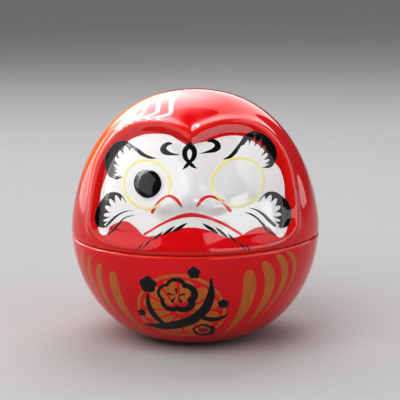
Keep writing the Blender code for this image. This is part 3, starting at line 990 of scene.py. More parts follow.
def seal_section():
    """The ring's closed section about its middle height: two soft lips on a flat back."""
    inner, outer = GROOVE_RADIUS + FIT_GAP, BORE_RADIUS - FIT_GAP
    half, corner = SEAL_HALF_HEIGHT, SEAL_LIP / 2
    upper = [
        (outer - SEAL_LIP, 0.0), (outer - SEAL_LIP, corner), (outer, half / 2), (outer, half - SEAL_LIP),
        (outer - SEAL_LIP, half), (inner + corner, half), (inner, half - corner), (inner, 0.0),
    ]
    lower = [(radius, -height) for radius, height in reversed(upper)]
    section = rounded(upper + lower[1:], SEAL_ROUNDING)
    section[:, 1] += SEAL_MIDDLE
    return section


# ---------------------------------------------------------------- marks


# The face panel's upper and lower edges, left to right, as pairs that face each other.
PANEL_TOP = (
    (-33.5, 50.5), (-33.3, 54.0), (-32.9, 57.6), (-32.2, 60.8), (-31.2, 63.9), (-29.2, 68.2),
    (-26.2, 72.6), (-22.6, 76.0), (-17.5, 78.1), (-12.2, 78.7), (-7.9, 78.3), (-4.7, 77.0),
    (-2.4, 75.8), (-0.5, 74.9), (1.4, 75.6), (4.0, 76.3), (7.3, 77.0), (10.9, 77.8),
    (14.6, 78.0), (18.3, 77.4), (22.4, 75.4), (26.4, 72.0), (29.6, 68.0), (31.4, 65.2),
    (32.3, 62.3), (32.9, 58.8), (33.2, 55.0), (33.5, 51.5),
)
PANEL_BOTTOM = (
    (-33.6, 50.0), (-33.8, 47.0), (-33.5, 44.6), (-32.4, 43.2), (-30.9, 43.4), (-29.7, 46.3),
    (-26.7, 48.2), (-23.4, 49.0), (-20.0, 47.3), (-16.6, 44.6), (-12.4, 45.0), (-8.3, 46.2),
    (-5.0, 47.4), (-1.4, 48.0), (2.0, 47.9), (5.0, 47.3), (8.0, 46.2), (11.0, 44.7),
    (14.4, 43.9), (17.9, 44.5), (20.7, 45.8), (24.0, 46.6), (27.3, 46.2), (29.2, 44.2),
    (30.6, 42.0), (32.4, 42.8), (33.7, 45.2), (33.7, 51.0),
)

# Brows and beards: the outer edge, and the ends of the white gaps and of the black bristles that
# make the inner edge, as triples that face each other.
BROW_LEFT = (
    ((-12.4, 71.0), (-12.5, 70.8), (-12.5, 70.8)), ((-14.8, 71.6), (-14.9, 70.6), (-14.9, 70.6)),
    ((-17.0, 72.4), (-17.2, 71.1), (-17.2, 71.1)), ((-19.2, 73.7), (-18.9, 71.8), (-18.9, 71.8)),
    ((-21.4, 74.6), (-20.4, 72.8), (-20.4, 72.8)), ((-23.9, 75.4), (-22.8, 73.6), (-22.0, 71.7)),
    ((-26.8, 74.0), (-25.3, 73.1), (-23.8, 70.2)), ((-29.0, 71.6), (-27.2, 71.3), (-25.2, 69.2)),
    ((-30.6, 69.0), (-28.1, 69.2), (-25.7, 67.8)), ((-31.3, 66.6), (-28.4, 67.6), (-25.9, 66.4)),
    ((-31.3, 64.7), (-28.2, 66.2), (-25.8, 65.5)), ((-30.2, 63.2), (-27.8, 64.8), (-25.6, 64.8)),
    ((-27.4, 62.7), (-26.8, 63.8), (-24.9, 64.3)), ((-24.6, 64.0), (-24.5, 64.15), (-24.4, 64.2)),
)
BROW_RIGHT = (
    ((11.4, 70.5), (11.5, 70.3), (11.5, 70.3)), ((13.6, 71.7), (14.1, 70.6), (14.1, 70.6)),
    ((15.5, 73.5), (16.3, 72.1), (16.3, 72.1)), ((17.3, 75.4), (17.8, 74.1), (17.8, 74.1)),
    ((19.0, 77.3), (19.3, 75.0), (19.3, 74.6)), ((21.3, 77.8), (21.2, 76.0), (20.4, 73.7)),
    ((24.0, 76.7), (23.3, 75.5), (21.9, 72.8)), ((26.3, 75.0), (25.1, 74.1), (23.5, 71.9)),
    ((28.2, 72.9), (26.4, 72.4), (24.4, 70.8)), ((29.6, 70.5), (27.3, 70.6), (25.1, 69.5)),
    ((30.2, 68.4), (27.7, 68.8), (25.4, 68.2)), ((29.8, 66.9), (27.6, 67.5), (25.4, 67.2)),
    ((28.2, 66.0), (26.9, 66.7), (25.1, 66.8)), ((24.9, 66.5), (24.8, 66.6), (24.8, 66.7)),
)
BEARD_LEFT = (
    ((-23.1, 54.9), (-23.2, 54.9), (-23.2, 54.9)), ((-24.2, 56.8), (-24.4, 56.4), (-24.2, 55.8)),
    ((-26.2, 58.4), (-26.2, 57.3), (-25.3, 55.2)), ((-28.7, 58.5), (-28.1, 56.7), (-27.0, 54.6)),
    ((-31.0, 57.5), (-29.8, 55.4), (-28.3, 53.6)), ((-32.8, 55.2), (-31.0, 53.5), (-28.8, 52.5)),
    ((-33.8, 52.2), (-31.7, 51.3), (-29.0, 51.2)), ((-34.3, 49.6), (-31.7, 49.5), (-28.6, 50.5)),
    ((-34.4, 47.4), (-31.9, 48.2), (-29.4, 49.2)), ((-33.8, 45.7), (-31.9, 47.0), (-30.2, 47.8)),
    ((-32.2, 45.4), (-31.6, 46.1), (-31.2, 46.3)),
)
BEARD_RIGHT = (
    ((23.8, 55.0), (23.9, 55.0), (23.9, 55.0)), ((25.0, 56.8), (25.2, 56.4), (25.0, 55.8)),
    ((27.0, 58.1), (27.3, 57.1), (26.4, 55.2)), ((29.4, 58.1), (29.1, 56.2), (27.9, 54.6)),
    ((31.5, 57.0), (30.5, 55.1), (29.2, 53.5)), ((33.2, 54.9), (31.4, 53.0), (29.8, 52.2)),
    ((34.1, 52.2), (31.9, 51.0), (29.4, 51.0)), ((34.5, 49.4), (31.6, 49.2), (28.3, 50.1)),
    ((34.5, 47.0), (31.4, 47.8), (28.9, 48.8)), ((33.6, 45.2), (31.2, 46.6), (29.5, 47.6)),
    ((32.2, 44.8), (31.2, 45.5), (30.4, 46.2)),
)

GAP_REACH = 1.18

# Strokes of the face: (across, up, width) in millimetres.
WHISKERS = {
    "whisker_left_upper": (
        (-31.6, 45.8, 0.5), (-29.4, 48.4, 0.85), (-26.6, 50.9, 0.55), (-23.9, 52.4, 0.35),
        (-20.7, 53.1, 0.1)),
    "whisker_left_lower": (
        (-30.6, 43.2, 0.5), (-28.5, 45.5, 0.7), (-26.6, 47.7, 0.6), (-24.5, 49.9, 0.4),
        (-22.3, 51.0, 0.3), (-19.7, 51.5, 0.1)),
    "whisker_right_upper": (
        (20.5, 53.7, 0.12), (22.9, 52.8, 0.4), (25.5, 51.0, 0.75), (27.9, 48.4, 1.0),
        (30.2, 46.0, 0.8)),
    "whisker_right_lower": (
        (18.7, 52.4, 0.12), (21.3, 51.4, 0.5), (23.5, 49.8, 0.55), (25.7, 47.2, 0.75),
        (27.3, 45.1, 0.8), (29.8, 42.7, 0.3)),
}
FOREHEAD = {
    "forehead_knot": (
        (-2.9, 67.2, 0.3), (-1.6, 68.5, 1.5), (-0.4, 69.8, 1.4), (0.85, 71.2, 1.8),
        (1.25, 73.0, 2.0), (0.65, 74.4, 2.1), (-0.55, 74.95, 2.1), (-1.8, 74.3, 2.1),
        (-2.3, 73.0, 2.0), (-1.9, 71.2, 1.8), (-0.75, 69.8, 1.4), (0.5, 68.6, 1.5), (2.1, 67.5, 0.3)),
    "forehead_curl_left": (
        (-6.8, 75.9, 0.6), (-8.3, 75.85, 1.6), (-9.7, 75.1, 2.2), (-10.1, 73.9, 2.4),
        (-9.0, 73.0, 2.1), (-7.0, 72.5, 1.2), (-3.8, 72.3, 0.15)),
    "forehead_curl_right": (
        (5.7, 76.5, 0.6), (7.4, 76.7, 1.6), (9.1, 76.0, 2.2), (9.6, 74.7, 2.4),
        (8.3, 73.7, 2.0), (6.2, 73.2, 1.1), (2.8, 72.6, 0.15)),
}
RED_LINES = {
    "nose_line_left": (
        (-14.1, 52.5, 1.3), (-13.2, 53.7, 1.3), (-11.5, 56.0, 1.0), (-9.2, 57.9, 1.0),
        (-7.0, 58.4, 1.1), (-4.7, 57.1, 1.3), (-2.8, 54.7, 0.5)),
    "nose_line_right": (
        (1.9, 54.8, 0.5), (3.5, 56.8, 1.3), (5.3, 58.0, 1.1), (7.5, 58.1, 1.1),
        (10.1, 56.9, 1.3), (11.9, 55.4, 1.4), (14.2, 52.8, 1.5)),
    "mouth_line": (
        (-17.0, 45.0, 1.0), (-14.1, 46.8, 0.9), (-10.9, 48.8, 1.0), (-7.2, 50.6, 1.1),
        (-3.2, 51.9, 1.5), (0.4, 52.3, 1.6), (4.0, 51.8, 1.3), (7.6, 50.7, 1.2),
        (11.2, 49.0, 1.1), (14.8, 46.8, 1.1), (17.9, 44.6, 1.0)),
}
# Moustache hairs: start, end and width.
MOUSTACHE = {
    "left": (
        ((-1.1, 49.7), (-6.8, 46.4), 0.85), ((-5.4, 48.6), (-10.1, 45.2), 0.75),
        ((-9.7, 46.6), (-13.8, 43.2), 0.6), ((-13.8, 44.2), (-16.7, 40.5), 0.5),
        ((-16.6, 42.6), (-18.9, 39.5), 0.45)),
    "right": (
        ((3.8, 49.5), (9.9, 45.5), 0.85), ((8.4, 48.0), (13.1, 43.9), 0.75),
        ((12.7, 45.6), (16.2, 41.8), 0.6), ((16.4, 42.6), (18.6, 39.4), 0.5),
        ((18.7, 41.2), (20.1, 39.2), 0.45)),
}
# Eye rings: centre across and up, half width and half height, and how far the line thins where a
# white reflection lay over it, a painted reflection.  The pupil has the first four.
EYE_RINGS = {
    "eye_ring_left": (-15.9, 62.1, 8.7, 8.0, 0.55),
    "eye_ring_right": (16.7, 62.5, 9.3, 8.0, 0.0),
}
PUPIL = (-15.4, 62.3, 5.2, 4.8)

# The belly's marks sit a little round from the face's centre line, as the bowl was set down.
BELLY_TURN = -5.4
# Stripes from the top down: azimuth in degrees, height and width in millimetres.
STRIPES = {
    "left": (
        ((-33.0, 30.9, 2.0), (-34.0, 27.6, 3.8), (-34.6, 22.0, 3.9),
         (-33.2, 14.0, 3.0), (-28.8, 7.2, 0.3)),
        ((-41.2, 32.6, 1.6), (-43.6, 29.4, 2.9), (-45.2, 24.5, 3.1),
         (-44.6, 17.0, 2.4), (-40.5, 9.6, 0.3)),
        ((-48.3, 34.8, 1.2), (-50.8, 32.0, 2.1), (-52.6, 27.5, 2.4),
         (-52.2, 21.5, 1.9), (-48.5, 14.5, 0.3)),
        ((-54.2, 36.1, 0.9), (-57.0, 33.8, 1.5), (-59.4, 30.0, 1.8),
         (-59.6, 25.5, 1.4), (-57.4, 20.0, 0.3)),
    ),
    "right": (
        ((31.2, 32.3, 2.2), (32.4, 28.8, 4.3), (33.0, 23.0, 4.5),
         (31.6, 15.0, 3.4), (26.6, 7.2, 0.3)),
        ((38.4, 34.3, 2.0), (41.6, 31.4, 3.5), (44.0, 26.5, 4.0),
         (43.4, 18.5, 3.0), (38.6, 9.6, 0.3)),
        ((45.7, 36.2, 1.4), (49.8, 33.6, 2.6), (52.6, 29.0, 3.0),
         (52.4, 22.5, 2.3), (47.4, 14.2, 0.3)),
        ((52.0, 36.6, 0.9), (56.4, 34.4, 1.7), (59.4, 30.6, 2.0),
         (59.6, 26.0, 1.6), (56.6, 19.6, 0.3)),
    ),
}
STRIPE_WEIGHT = 1.12
# Height of the middle of the belly marks, in millimetres.  The copper rosette's centre and the
# brush strokes of the plum branch, as (right, up, width), are in millimetres along the skin from it.
MEDALLION_HEIGHT = 18.6
ROSETTE_PLACE = (-0.5, -0.8)
PLUM_BRANCH = {
    "branch_main": (
        (-15.2, -9.4, 0.6), (-10.0, -9.8, 3.2), (-3.6, -8.6, 4.4), (3.0, -5.4, 4.4),
        (7.8, -0.4, 3.8), (10.4, 5.8, 2.8), (10.8, 12.6, 0.6)),
    "branch_left": ((-6.6, -8.6, 1.8), (-10.0, -4.0, 2.6), (-11.8, 1.2, 2.0), (-11.6, 6.4, 0.6)),
    "branch_right": ((5.6, -3.4, 1.6), (10.0, -5.4, 2.4), (14.0, -4.6, 1.6), (16.0, -2.6, 0.4)),
}
# Blossoms: centre, radius and brush width; a width of nothing makes a solid one.
BLOSSOMS = {
    "blossom_large": (-1.4, 5.6, 6.2, 2.7),
    "blossom_small": (6.6, -11.6, 3.4, 2.0),
    "blossom_left": (-11.4, 9.6, 3.2, 0.0),
    "bud_high": (5.0, 14.6, 2.2, 0.0),
    "bud_right": (14.6, 1.8, 2.0, 0.0),
    "bud_left": (-15.0, -3.0, 1.7, 0.0),
}


def front_stroke(name, points, top, material, weight=1.0):
    """A stroke on the face from (across, up, width) points in millimetres, its widths times a
    weight."""
    points = np.asarray(points)
    return stroke(name, from_front(points[:, :2]), points[:, 2] * MM * weight, top, material)


def bristled(name, triples, count, first, power, top, material):
    """A brow or beard: ruled from its outer edge to an inner edge that swings between bristle
    ends and gap ends as |sin| to a power, from the first share of its length on: the lower the
    power, the thinner the bristles."""
    triples = np.array(triples)
    outer, gaps, tips = (
        through(from_front(triples[:, column]), STROKE_STEPS * 2) for column in range(3))
    share = np.linspace(0.0, 1.0, len(outer))
    swing = np.abs(np.sin(pi * count * np.clip((share - first) / (1.0 - first), 0.0, 1.0))) ** power
    inner = tips + (gaps - tips) * swing[:, None] * GAP_REACH
    return sheet(name, outer, inner, top, material)


def belly_place(points):
    """(azimuth, climb) of places given in millimetres from the medallion's centre."""
    points = np.asarray(points, dtype=float) * MM
    climb = climb_at(MEDALLION_HEIGHT * MM) + points[..., 1]
    return np.stack([radians(BELLY_TURN) + points[..., 0] / on_profile(climb)[0], climb], axis=-1)


def ellipse(across, up, half_width, half_height, count):
    """Knots of an ellipse in the front elevation."""
    angle = np.linspace(0.0, 2 * pi, count, endpoint=False)
    return np.stack([across + half_width * np.cos(angle), up + half_height * np.sin(angle)], axis=1)


# ---------------------------------------------------------------- operators


class DARUMA_OT_bowl(bpy.types.Operator):
    """Make the fine glazed bowl in place of the plain one"""

    bl_idname = "daruma.bowl"
    bl_label = "Bowl"

    def execute(self, context):
        azimuths = np.linspace(0.0, 2 * pi, BOWL_COLUMNS, endpoint=False)
        piece = shell("bowl_shell", bowl_groups(), azimuths, plain_turn)
        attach(piece, "bowl")
        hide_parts("bowl")
        return {"FINISHED"}


class DARUMA_OT_lid(bpy.types.Operator):
    """Make the fine glazed lid, with hood and face in relief, in place of the plain one"""

    bl_idname = "daruma.lid"
    bl_label = "Lid"

    def execute(self, context):
        front = np.linspace(-FACE_HALF_ANGLE, FACE_HALF_ANGLE, FACE_COLUMNS, endpoint=False)
        back = np.linspace(FACE_HALF_ANGLE, 2 * pi - FACE_HALF_ANGLE, BACK_COLUMNS, endpoint=False)
        piece = shell("lid_shell", lid_groups(), np.concatenate([front, back]), carved_turn)
        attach(piece, "lid")
        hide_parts("lid")
        return {"FINISHED"}


class DARUMA_OT_seal(bpy.types.Operator):
    """Make the soft seal ring with its two lips"""

    bl_idname = "daruma.seal"
    bl_label = "Seal ring"

    def execute(self, context):
        azimuths = np.linspace(0.0, 2 * pi, SEAL_COLUMNS, endpoint=False)
        section = seal_section()
        piece = new_piece(
            "soft_ring", turned(section, azimuths), grid_quads(len(section), SEAL_COLUMNS, wrapped=True),
            {}, [finish_by(seal_silicone)])
        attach(piece, "seal")
        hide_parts("seal_ring")
        return {"FINISHED"}


class DARUMA_OT_face_panel(bpy.types.Operator):
    """Lay the white enamel of the face inside the hood"""

    bl_idname = "daruma.face_panel"
    bl_label = "Face panel"

    def execute(self, context):
        upper, lower = (through(from_front(side), STROKE_STEPS) for side in (PANEL_TOP, PANEL_BOTTOM))
        white = finish_by(white_enamel)
        sheet("face_panel", upper, lower, context.scene.daruma_enamel.panel_lift, white, rows=PANEL_ROWS)
        return {"FINISHED"}


class DARUMA_OT_brows(bpy.types.Operator):
    """Paint the eyebrows with their bristles"""

    bl_idname = "daruma.brows"
    bl_label = "Eyebrows"

    bristles_start, sharpness = 0.3, 0.55

    def execute(self, context):
        sizes = context.scene.daruma_enamel
        black = finish_by(black_enamel)
        for name, triples in (("brow_left", BROW_LEFT), ("brow_right", BROW_RIGHT)):
            bristled(
                name, triples, sizes.brow_bristles, self.bristles_start, self.sharpness,
                sizes.mark_lift, black)
        return {"FINISHED"}


class DARUMA_OT_beards(bpy.types.Operator):
    """Paint the side beards with their bristles, and the long whiskers below them"""

    bl_idname = "daruma.beards"
    bl_label = "Beards and whiskers"

    bristles_start, sharpness = 0.06, 0.9

    def execute(self, context):
        sizes = context.scene.daruma_enamel
        black = finish_by(black_enamel)
        for name, triples in (("beard_left", BEARD_LEFT), ("beard_right", BEARD_RIGHT)):
            bristled(
                name, triples, sizes.beard_bristles, self.bristles_start, self.sharpness,
                sizes.mark_lift, black)
        for name, points in WHISKERS.items():
            front_stroke(name, points, sizes.mark_lift, black, sizes.hair_weight)
        return {"FINISHED"}


class DARUMA_OT_eyes(bpy.types.Operator):
    """Paint the yellow rings and the one pupil"""

    bl_idname = "daruma.eyes"
    bl_label = "Eyes"

    ring_knots, pupil_knots = 24, 12
    # Where round the ring, and how widely, the line thins for the painted reflection.
    fade_angle, fade_width = 1.85 * pi, 0.5

    def execute(self, context):
        sizes = context.scene.daruma_enamel
        yellow = finish_by(eye_yellow)
        for name, (across, up, half_width, half_height, reflection_share) in EYE_RINGS.items():
            knots = ellipse(across, up, half_width, half_height, self.ring_knots)
            angle = np.linspace(0.0, 2 * pi, len(knots), endpoint=False)
            # The line thins where a white reflection lay over the ring: painted reflection, not wear.
            reflection_thinning = reflection_share * np.exp(-((angle - self.fade_angle) / self.fade_width) ** 2)
            width = sizes.eye_line * (1.0 - reflection_thinning)
            stroke(name, from_front(knots), width, sizes.mark_lift, yellow, closed=True)
        rim = through(ellipse(*PUPIL, self.pupil_knots), STROKE_STEPS, closed=True)
        middle = np.array(PUPIL[:2])
        share = np.sin(np.linspace(0.0, pi / 2, SHEET_ROWS))[:, None, None]
        grid = middle + share * (rim - middle)
        edge = (1.0 - share[..., 0]) * np.linalg.norm(rim - middle, axis=1) * MM
        black = finish_by(black_enamel)
        enamel("pupil", from_front(grid), edge, sizes.mark_lift, black, wrapped=True)
        return {"FINISHED"}


class DARUMA_OT_forehead(bpy.types.Operator):
    """Paint the knot and the two curls on the forehead"""

    bl_idname = "daruma.forehead"
    bl_label = "Forehead marks"

    def execute(self, context):
        black = finish_by(black_enamel)
        for name, points in FOREHEAD.items():
            front_stroke(name, points, context.scene.daruma_enamel.mark_lift, black)
        return {"FINISHED"}


class DARUMA_OT_nose_mouth(bpy.types.Operator):
    """Paint the red nose and mouth lines"""

    bl_idname = "daruma.nose_mouth"
    bl_label = "Nose and mouth lines"

    def execute(self, context):
        red = finish_by(line_red)
        for name, points in RED_LINES.items():
            front_stroke(name, points, context.scene.daruma_enamel.mark_lift, red)
        return {"FINISHED"}


class DARUMA_OT_moustache(bpy.types.Operator):
    """Paint the moustache as short overlapping hairs"""

    bl_idname = "daruma.moustache"
    bl_label = "Moustache"

    def execute(self, context):
        sizes = context.scene.daruma_enamel
        black = finish_by(black_enamel)
        for side, hairs in MOUSTACHE.items():
            for number, (start, end, width) in enumerate(hairs, start=1):
                share = np.linspace(0.0, 1.0, 6)[:, None]
                path = np.array(start) + share * (np.array(end) - start)
                swell = np.maximum(np.sin(pi * share) ** 0.7, 0.08) * width
                points = np.column_stack([path, swell])
                name = f"moustache_{side}_{number}"
                front_stroke(name, points, sizes.mark_lift, black, sizes.hair_weight)
        return {"FINISHED"}


class DARUMA_OT_stripes(bpy.types.Operator):
    """Paint the copper stripes of the belly"""

    bl_idname = "daruma.stripes"
    bl_label = "Belly stripes"

    def execute(self, context):
        copper = finish_by(copper_paint)
        lift = context.scene.daruma_enamel.belly_lift
        for side, stripes in STRIPES.items():
            for number, points in enumerate(stripes, start=1):
                points = np.array(points)
                knots = from_polar(points[:, :2]) + (radians(BELLY_TURN), 0.0)
                widths = points[:, 2] * MM * STRIPE_WEIGHT
                name = f"stripe_{side}_{number}"
                stroke(name, knots, widths, lift, copper, on_lid=False, steps=16)
        return {"FINISHED"}


class DARUMA_OT_medallion(bpy.types.Operator):
    """Paint the copper rosette: a ring round a wheel of petals"""

    bl_idname = "daruma.medallion"
    bl_label = "Medallion"

    ring_width = 1.25
    centre_radius, centre_width = 1.3, 1.0
    petal_start, petal_end, petal_gap, petal_opening = 0.22, 0.86, 0.019, 0.076

    def execute(self, context):
        sizes = context.scene.daruma_enamel
        copper = finish_by(copper_paint)
        across, up = sizes.medallion_width / MM / 2, sizes.medallion_height / MM / 2
        inset = self.ring_width / 2
        knots = belly_place(ellipse(*ROSETTE_PLACE, across - inset, up - inset, 32))
        stroke(
            "medallion_ring", knots, self.ring_width * MM, sizes.belly_lift, copper,
            on_lid=False, closed=True, steps=6)
        for number in range(sizes.petals):
            self.petal(number, sizes, copper, np.array((across, up)))
        knots = belly_place(ellipse(*ROSETTE_PLACE, self.centre_radius, self.centre_radius, 12))
        stroke(
            "medallion_centre", knots, self.centre_width * MM, sizes.belly_lift, copper,
            on_lid=False, closed=True, steps=4)
        return {"FINISHED"}

    def petal(self, number, sizes, copper, radii):
        """One petal of a wheel of radius 1: a wedge whose half width grows with the distance from
        the centre and closes in a half round at its outer end, then stretched to the oval."""
        share = (1.0 - np.cos(np.linspace(0.0, pi, PETAL_COLUMNS))) / 2
        reach = self.petal_start + (self.petal_end - self.petal_start) * share
        spread = np.sin(pi / sizes.petals)
        wedge = spread * reach - self.petal_gap
        cap = spread * self.petal_end
        into_cap = np.clip(reach - (self.petal_end - cap), 0.0, cap) / cap
        closing = np.sqrt(np.clip(1.0 - into_cap ** 2, 0.0, 1.0))
        opening = np.sqrt(np.clip((reach - self.petal_start) / self.petal_opening, 0.0, 1.0))
        half = np.maximum(wedge * closing * opening, 0.0)
        angle = 2 * pi * (number + 0.5) / sizes.petals
        out = np.array((np.cos(angle), np.sin(angle)))
        side = np.array((-np.sin(angle), np.cos(angle)))
        middle = np.array(ROSETTE_PLACE)
        left, right = (
            belly_place(middle + radii * (reach[:, None] * out + sign * half[:, None] * side))
            for sign in (1, -1))
        sheet(f"petal_{number + 1:02d}", left, right, sizes.belly_lift, copper, on_lid=False, rows=PETAL_ROWS)


class DARUMA_OT_plum(bpy.types.Operator):
    """Paint the black plum branch over the medallion, in brush strokes"""

    bl_idname = "daruma.plum"
    bl_label = "Plum branch"

    petals = 5
    tilt = 0.3
    notch, petal_depth, petal_roundness = 0.82, 0.22, 0.7
    thin_side, swell_side, swell_turn = 0.72, 0.28, 0.6
    stamen_reach, stamen_widths = (0.12, 0.52), (0.4, 0.7, 0.9, 1.3)

    def execute(self, context):
        lift = context.scene.daruma_enamel.ink_lift
        black = finish_by(black_enamel)
        for name, points in PLUM_BRANCH.items():
            points = np.array(points)
            stroke(name, belly_place(points[:, :2]), points[:, 2] * MM, lift, black, on_lid=False)
        for name, (across, up, radius, width) in BLOSSOMS.items():
            angle = np.linspace(0.0, 2 * pi, RIM_POINTS, endpoint=False)
            lobes = np.abs(np.cos(self.petals / 2 * (angle - self.tilt))) ** self.petal_roundness
            reach = radius * (self.notch + self.petal_depth * lobes)
            out = np.stack([np.cos(angle), np.sin(angle)], axis=1)
            rim = (across, up) + reach[:, None] * out
            if width:
                turned_by = np.cos(angle + self.swell_turn)
                swell = width * MM * (self.thin_side + self.swell_side * turned_by)
                stroke(name, belly_place(rim), swell, lift, black, on_lid=False, closed=True, steps=6)
                self.paint_stamens(name, (across, up), radius, lift, black)
            else:
                self.solid(name, rim, lift, black)
        return {"FINISHED"}

    def paint_stamens(self, name, middle, radius, lift, black):
        """Short strokes that fan out of a blossom's middle."""
        widths = np.array(self.stamen_widths) * MM
        reach = np.linspace(*self.stamen_reach, len(widths))[:, None] * radius
        for number in range(self.petals):
            angle = 2 * pi * number / self.petals + self.tilt
            points = np.array(middle) + reach * np.array((np.cos(angle), np.sin(angle)))
            label = f"{name}_stamen_{number + 1}"
            stroke(label, belly_place(points), widths, lift, black, on_lid=False)

    @staticmethod
    def solid(name, rim, lift, black):
        """A filled outline, ruled from its upper half to its lower half."""
        rim = through(rim, 4, closed=True)
        half = len(rim) // 2
        upper, lower = rim[:half + 1], np.roll(rim[::-1], 1, axis=0)[:half + 1]
        sheet(name, belly_place(upper), belly_place(lower), lift, black, on_lid=False)


# Lights that only shine on the jar, and cards, slats and a pane that it only mirrors: azimuth and
# elevation in degrees, distance and (width, height) in metres, the setting that gives the
# brightness with a factor on it, and the colour.
NEUTRAL = (1.0, 1.0, 1.0)
SHINING = {
    "key_light": (-32.0, 50.0, 0.9, (0.8, 0.8), "key", 1.0, NEUTRAL),
    "rim_light": (-122.0, 16.0, 0.9, (0.6, 0.6), "rim", 1.0, (1.0, 0.92, 0.86)),
    "top_light": (172.0, 56.0, 0.8, (0.6, 0.6), "top", 1.0, NEUTRAL),
    "side_light": (62.0, 28.0, 0.9, (0.8, 0.8), "side", 1.0, NEUTRAL),
}
MIRRORED = {
    "left_card": (-72.0, 33.0, 0.9, (1.2, 1.1), "cards", 1.2, NEUTRAL),
    "left_slat": (-98.0, 32.0, 0.8, (0.045, 0.9), "slats", 1.0, NEUTRAL),
    "far_left_card": (-124.0, 20.0, 0.95, (0.75, 0.8), "cards", 1.0, NEUTRAL),
    "right_card": (104.0, 28.0, 0.9, (1.1, 0.95), "cards", 1.0, NEUTRAL),
    "back_card": (-178.0, 36.0, 1.2, (1.10, 1.20), "back", 1.0, NEUTRAL),
    "small_pane": (47.0, 5.0, 0.30, (0.38, 0.125), "pane", 1.0, NEUTRAL),
    "warm_card": (-158.0, 14.0, 1.2, (0.7, 0.7), "cards", 0.8, (1.0, 0.3, 0.04)),
}
# Overhead slats behind the jar, which face straight down.
SLAT_SIZE = (0.05, 2.6)
SLATS_ACROSS = (-0.26, -0.42, -0.62, -0.86, -1.2, -1.7)
SLATS_BEHIND, SLATS_UP = 1.5, 1.0
# The mirrored glow: azimuth, elevation, and the angles from there at which it is full and gone.
BACK_GLOW = (-147.0, 43.0, 12.0, 38.0)
ROOM_COLOUR = (0.96, 0.98, 1.0, 1.0)
MIRRORED_FILL = 0.3
# The floor: half its side, the height of its waves and where they set in round the jar.
FLOOR_HALF_SIDE = 3.5
FLOOR_WAVE = 0.0002
FLOOR_LEVEL, FLOOR_WAVING = 0.15, 0.6


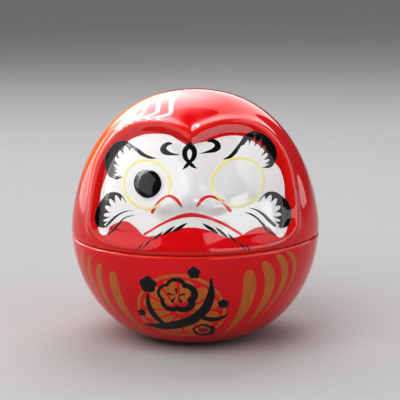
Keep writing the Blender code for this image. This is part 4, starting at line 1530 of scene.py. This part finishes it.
class DARUMA_OT_stage(bpy.types.Operator):
    """Set the pale floor, the camera and the lights"""

    bl_idname = "daruma.stage"
    bl_label = "Stage"

    middle = Vector((0.0, 0.0, 0.0409))
    aim_right, aim_up = 1.83 * MM, 8.4 * MM

    def execute(self, context):
        self.make_floor()
        self.make_camera(context)
        self.make_lights(context)
        return {"FINISHED"}

    def make_floor(self):
        """A floor that is level round the jar and barely waves further out: the product of two
        long sine waves, never above the table."""
        side = np.linspace(-FLOOR_HALF_SIDE, FLOOR_HALF_SIDE, FLOOR_POINTS)
        across, deep = np.meshgrid(side, side)
        wave = FLOOR_WAVE * (np.sin(2.1 * across) * np.sin(1.7 * deep) - 1.0)
        wave *= smoothstep(FLOOR_LEVEL, FLOOR_WAVING, np.hypot(across, deep))
        points = np.stack([across, deep, wave], axis=-1)
        quads = grid_quads(FLOOR_POINTS, FLOOR_POINTS)
        floor = new_piece("studio_floor", points, quads, {}, [finish_by(floor_plaster)])

    def make_camera(self, context):
        """A camera on the arc of its azimuth and elevation, aimed a little past the middle."""
        stage = context.scene.daruma_stage
        level = Matrix.Rotation(stage.azimuth, 3, "Z")
        back = level @ Vector((0.0, -np.cos(stage.elevation), np.sin(stage.elevation)))
        right = level @ Vector((1.0, 0.0, 0.0))
        up = back.cross(right)
        place = self.middle + stage.distance * back
        aim = self.middle + self.aim_right * right + self.aim_up * up
        out = (place - aim).normalized()
        side = up.cross(out).normalized()
        top = out.cross(side)
        turn = Matrix((side, top, out)).transposed() @ Matrix.Rotation(-stage.roll, 3, "Z")
        data = bpy.data.cameras.new("studio_camera")
        data.lens = stage.lens
        data.sensor_width = 36.0
        camera = bpy.data.objects.new("studio_camera", data)
        camera.matrix_world = Matrix.Translation(place) @ turn.to_4x4()
        context.scene.collection.objects.link(camera)
        context.scene.camera = camera

    def make_lights(self, context):
        """Four soft lights that only shine, and slats, cards and a pane that only mirror."""
        stage = context.scene.daruma_stage
        for lights, mirrored in ((SHINING, False), (MIRRORED, True)):
            for name, (*place, size, setting, factor, colour) in lights.items():
                self.softbox(name, *place, size, getattr(stage, setting) * factor, mirrored, colour)
        for number, across in enumerate(SLATS_ACROSS, start=1):
            light = self.softbox(f"slat_{number}", 180.0, 45.0, 1.0, SLAT_SIZE, stage.slats)
            light.location = (across, SLATS_BEHIND, SLATS_UP)
            light.rotation_euler = (0.0, 0.0, 0.0)
        self.make_room(context.scene, stage)

    def make_room(self, scene, stage):
        """The room's light: an even fill and, seen in mirrors only, a glow that fades with the
        angle from a point."""
        world = bpy.data.worlds.new("room")
        world.use_nodes = True
        room = Graph(world.node_tree)
        mirrored = room.node("ShaderNodeLightPath", output="Is Glossy Ray")
        left = self.glow(room, *BACK_GLOW) * stage.glow
        strength = mirrored * (left - stage.fill * (1.0 - MIRRORED_FILL)) + stage.fill
        background = world.node_tree.nodes["Background"]
        background.inputs["Color"].default_value = ROOM_COLOUR
        world.node_tree.links.new(strength.socket, background.inputs["Strength"])
        scene.world = world
        scene.view_settings.view_transform = "Standard"
        scene.view_settings.gamma = 0.85

    def glow(self, room, azimuth, elevation, full, none):
        """From 1 within one angle of a direction to 0 beyond another."""
        look = room.node("ShaderNodeTexCoord", output="Generated")
        towards = self.direction(azimuth, elevation)
        facing = room.node(
            "ShaderNodeVectorMath", {"operation": "DOT_PRODUCT"}, {0: look, 1: towards}, output="Value")
        return room.node(
            "ShaderNodeMapRange", {"interpolation_type": "SMOOTHSTEP"},
            {0: facing, 1: np.cos(radians(none)), 2: np.cos(radians(full))})

    @staticmethod
    def direction(azimuth, elevation):
        """Unit vector towards an azimuth and elevation in degrees."""
        azimuth, elevation = radians(azimuth), radians(elevation)
        level = np.cos(elevation)
        return Vector((level * np.sin(azimuth), -level * np.cos(azimuth), np.sin(elevation)))

    def softbox(
            self, name, azimuth, elevation, distance, size, brightness, mirrored=True,
            colour=NEUTRAL):
        """A rectangular light that faces the jar.  Its power is pi x area x brightness, so that
        its face shines evenly at that brightness.  It is either mirrored or shines, not both."""
        towards = self.direction(azimuth, elevation)
        data = bpy.data.lights.new(name, "AREA")
        data.shape = "RECTANGLE"
        data.size, data.size_y = size
        data.energy = pi * size[0] * size[1] * brightness
        data.color = colour
        light = bpy.data.objects.new(name, data)
        light.location = self.middle + distance * towards
        light.rotation_euler = towards.to_track_quat("Z", "Y").to_euler()
        light.visible_camera = False
        light.visible_glossy = mirrored
        light.visible_diffuse = not mirrored
        bpy.context.scene.collection.objects.link(light)
        return light


class DARUMA_PT_panel(bpy.types.Panel):
    """Buttons for each piece, and the sizes and colours they use"""

    bl_idname = "DARUMA_PT_panel"
    bl_label = "Daruma jar"
    bl_space_type = "VIEW_3D"
    bl_region_type = "UI"
    bl_category = "Daruma"

    def draw(self, context):
        for operator in OPERATORS:
            self.layout.operator(operator.bl_idname)
        for label, group in GROUPS.items():
            box = self.layout.box()
            for prop in group.bl_rna.properties:
                if not prop.is_readonly and prop.identifier != "name":
                    box.prop(getattr(context.scene, label), prop.identifier)


OPERATORS = (
    DARUMA_OT_bowl, DARUMA_OT_lid, DARUMA_OT_seal, DARUMA_OT_face_panel, DARUMA_OT_brows,
    DARUMA_OT_beards, DARUMA_OT_eyes, DARUMA_OT_forehead, DARUMA_OT_nose_mouth,
    DARUMA_OT_moustache, DARUMA_OT_stripes, DARUMA_OT_medallion, DARUMA_OT_plum, DARUMA_OT_stage,
)
GROUPS = {
    "daruma_enamel": EnamelSizes, "daruma_colours": GlazeColours, "daruma_stage": StageSettings,
}


def register():
    """Register the classes and hang the settings on the scene."""
    for group in (*GROUPS.values(), *OPERATORS, DARUMA_PT_panel):
        bpy.utils.register_class(group)
    for label, group in GROUPS.items():
        setattr(bpy.types.Scene, label, PointerProperty(type=group))


def unregister():
    """Take the settings and the classes away again."""
    for label in GROUPS:
        delattr(bpy.types.Scene, label)
    for group in reversed((*GROUPS.values(), *OPERATORS, DARUMA_PT_panel)):
        bpy.utils.unregister_class(group)


def main():
    """Make every piece and the stage."""
    register()
    for operator in OPERATORS:
        getattr(bpy.ops.daruma, operator.bl_idname.split(".")[1])()


if __name__ == "__main__":
    main()
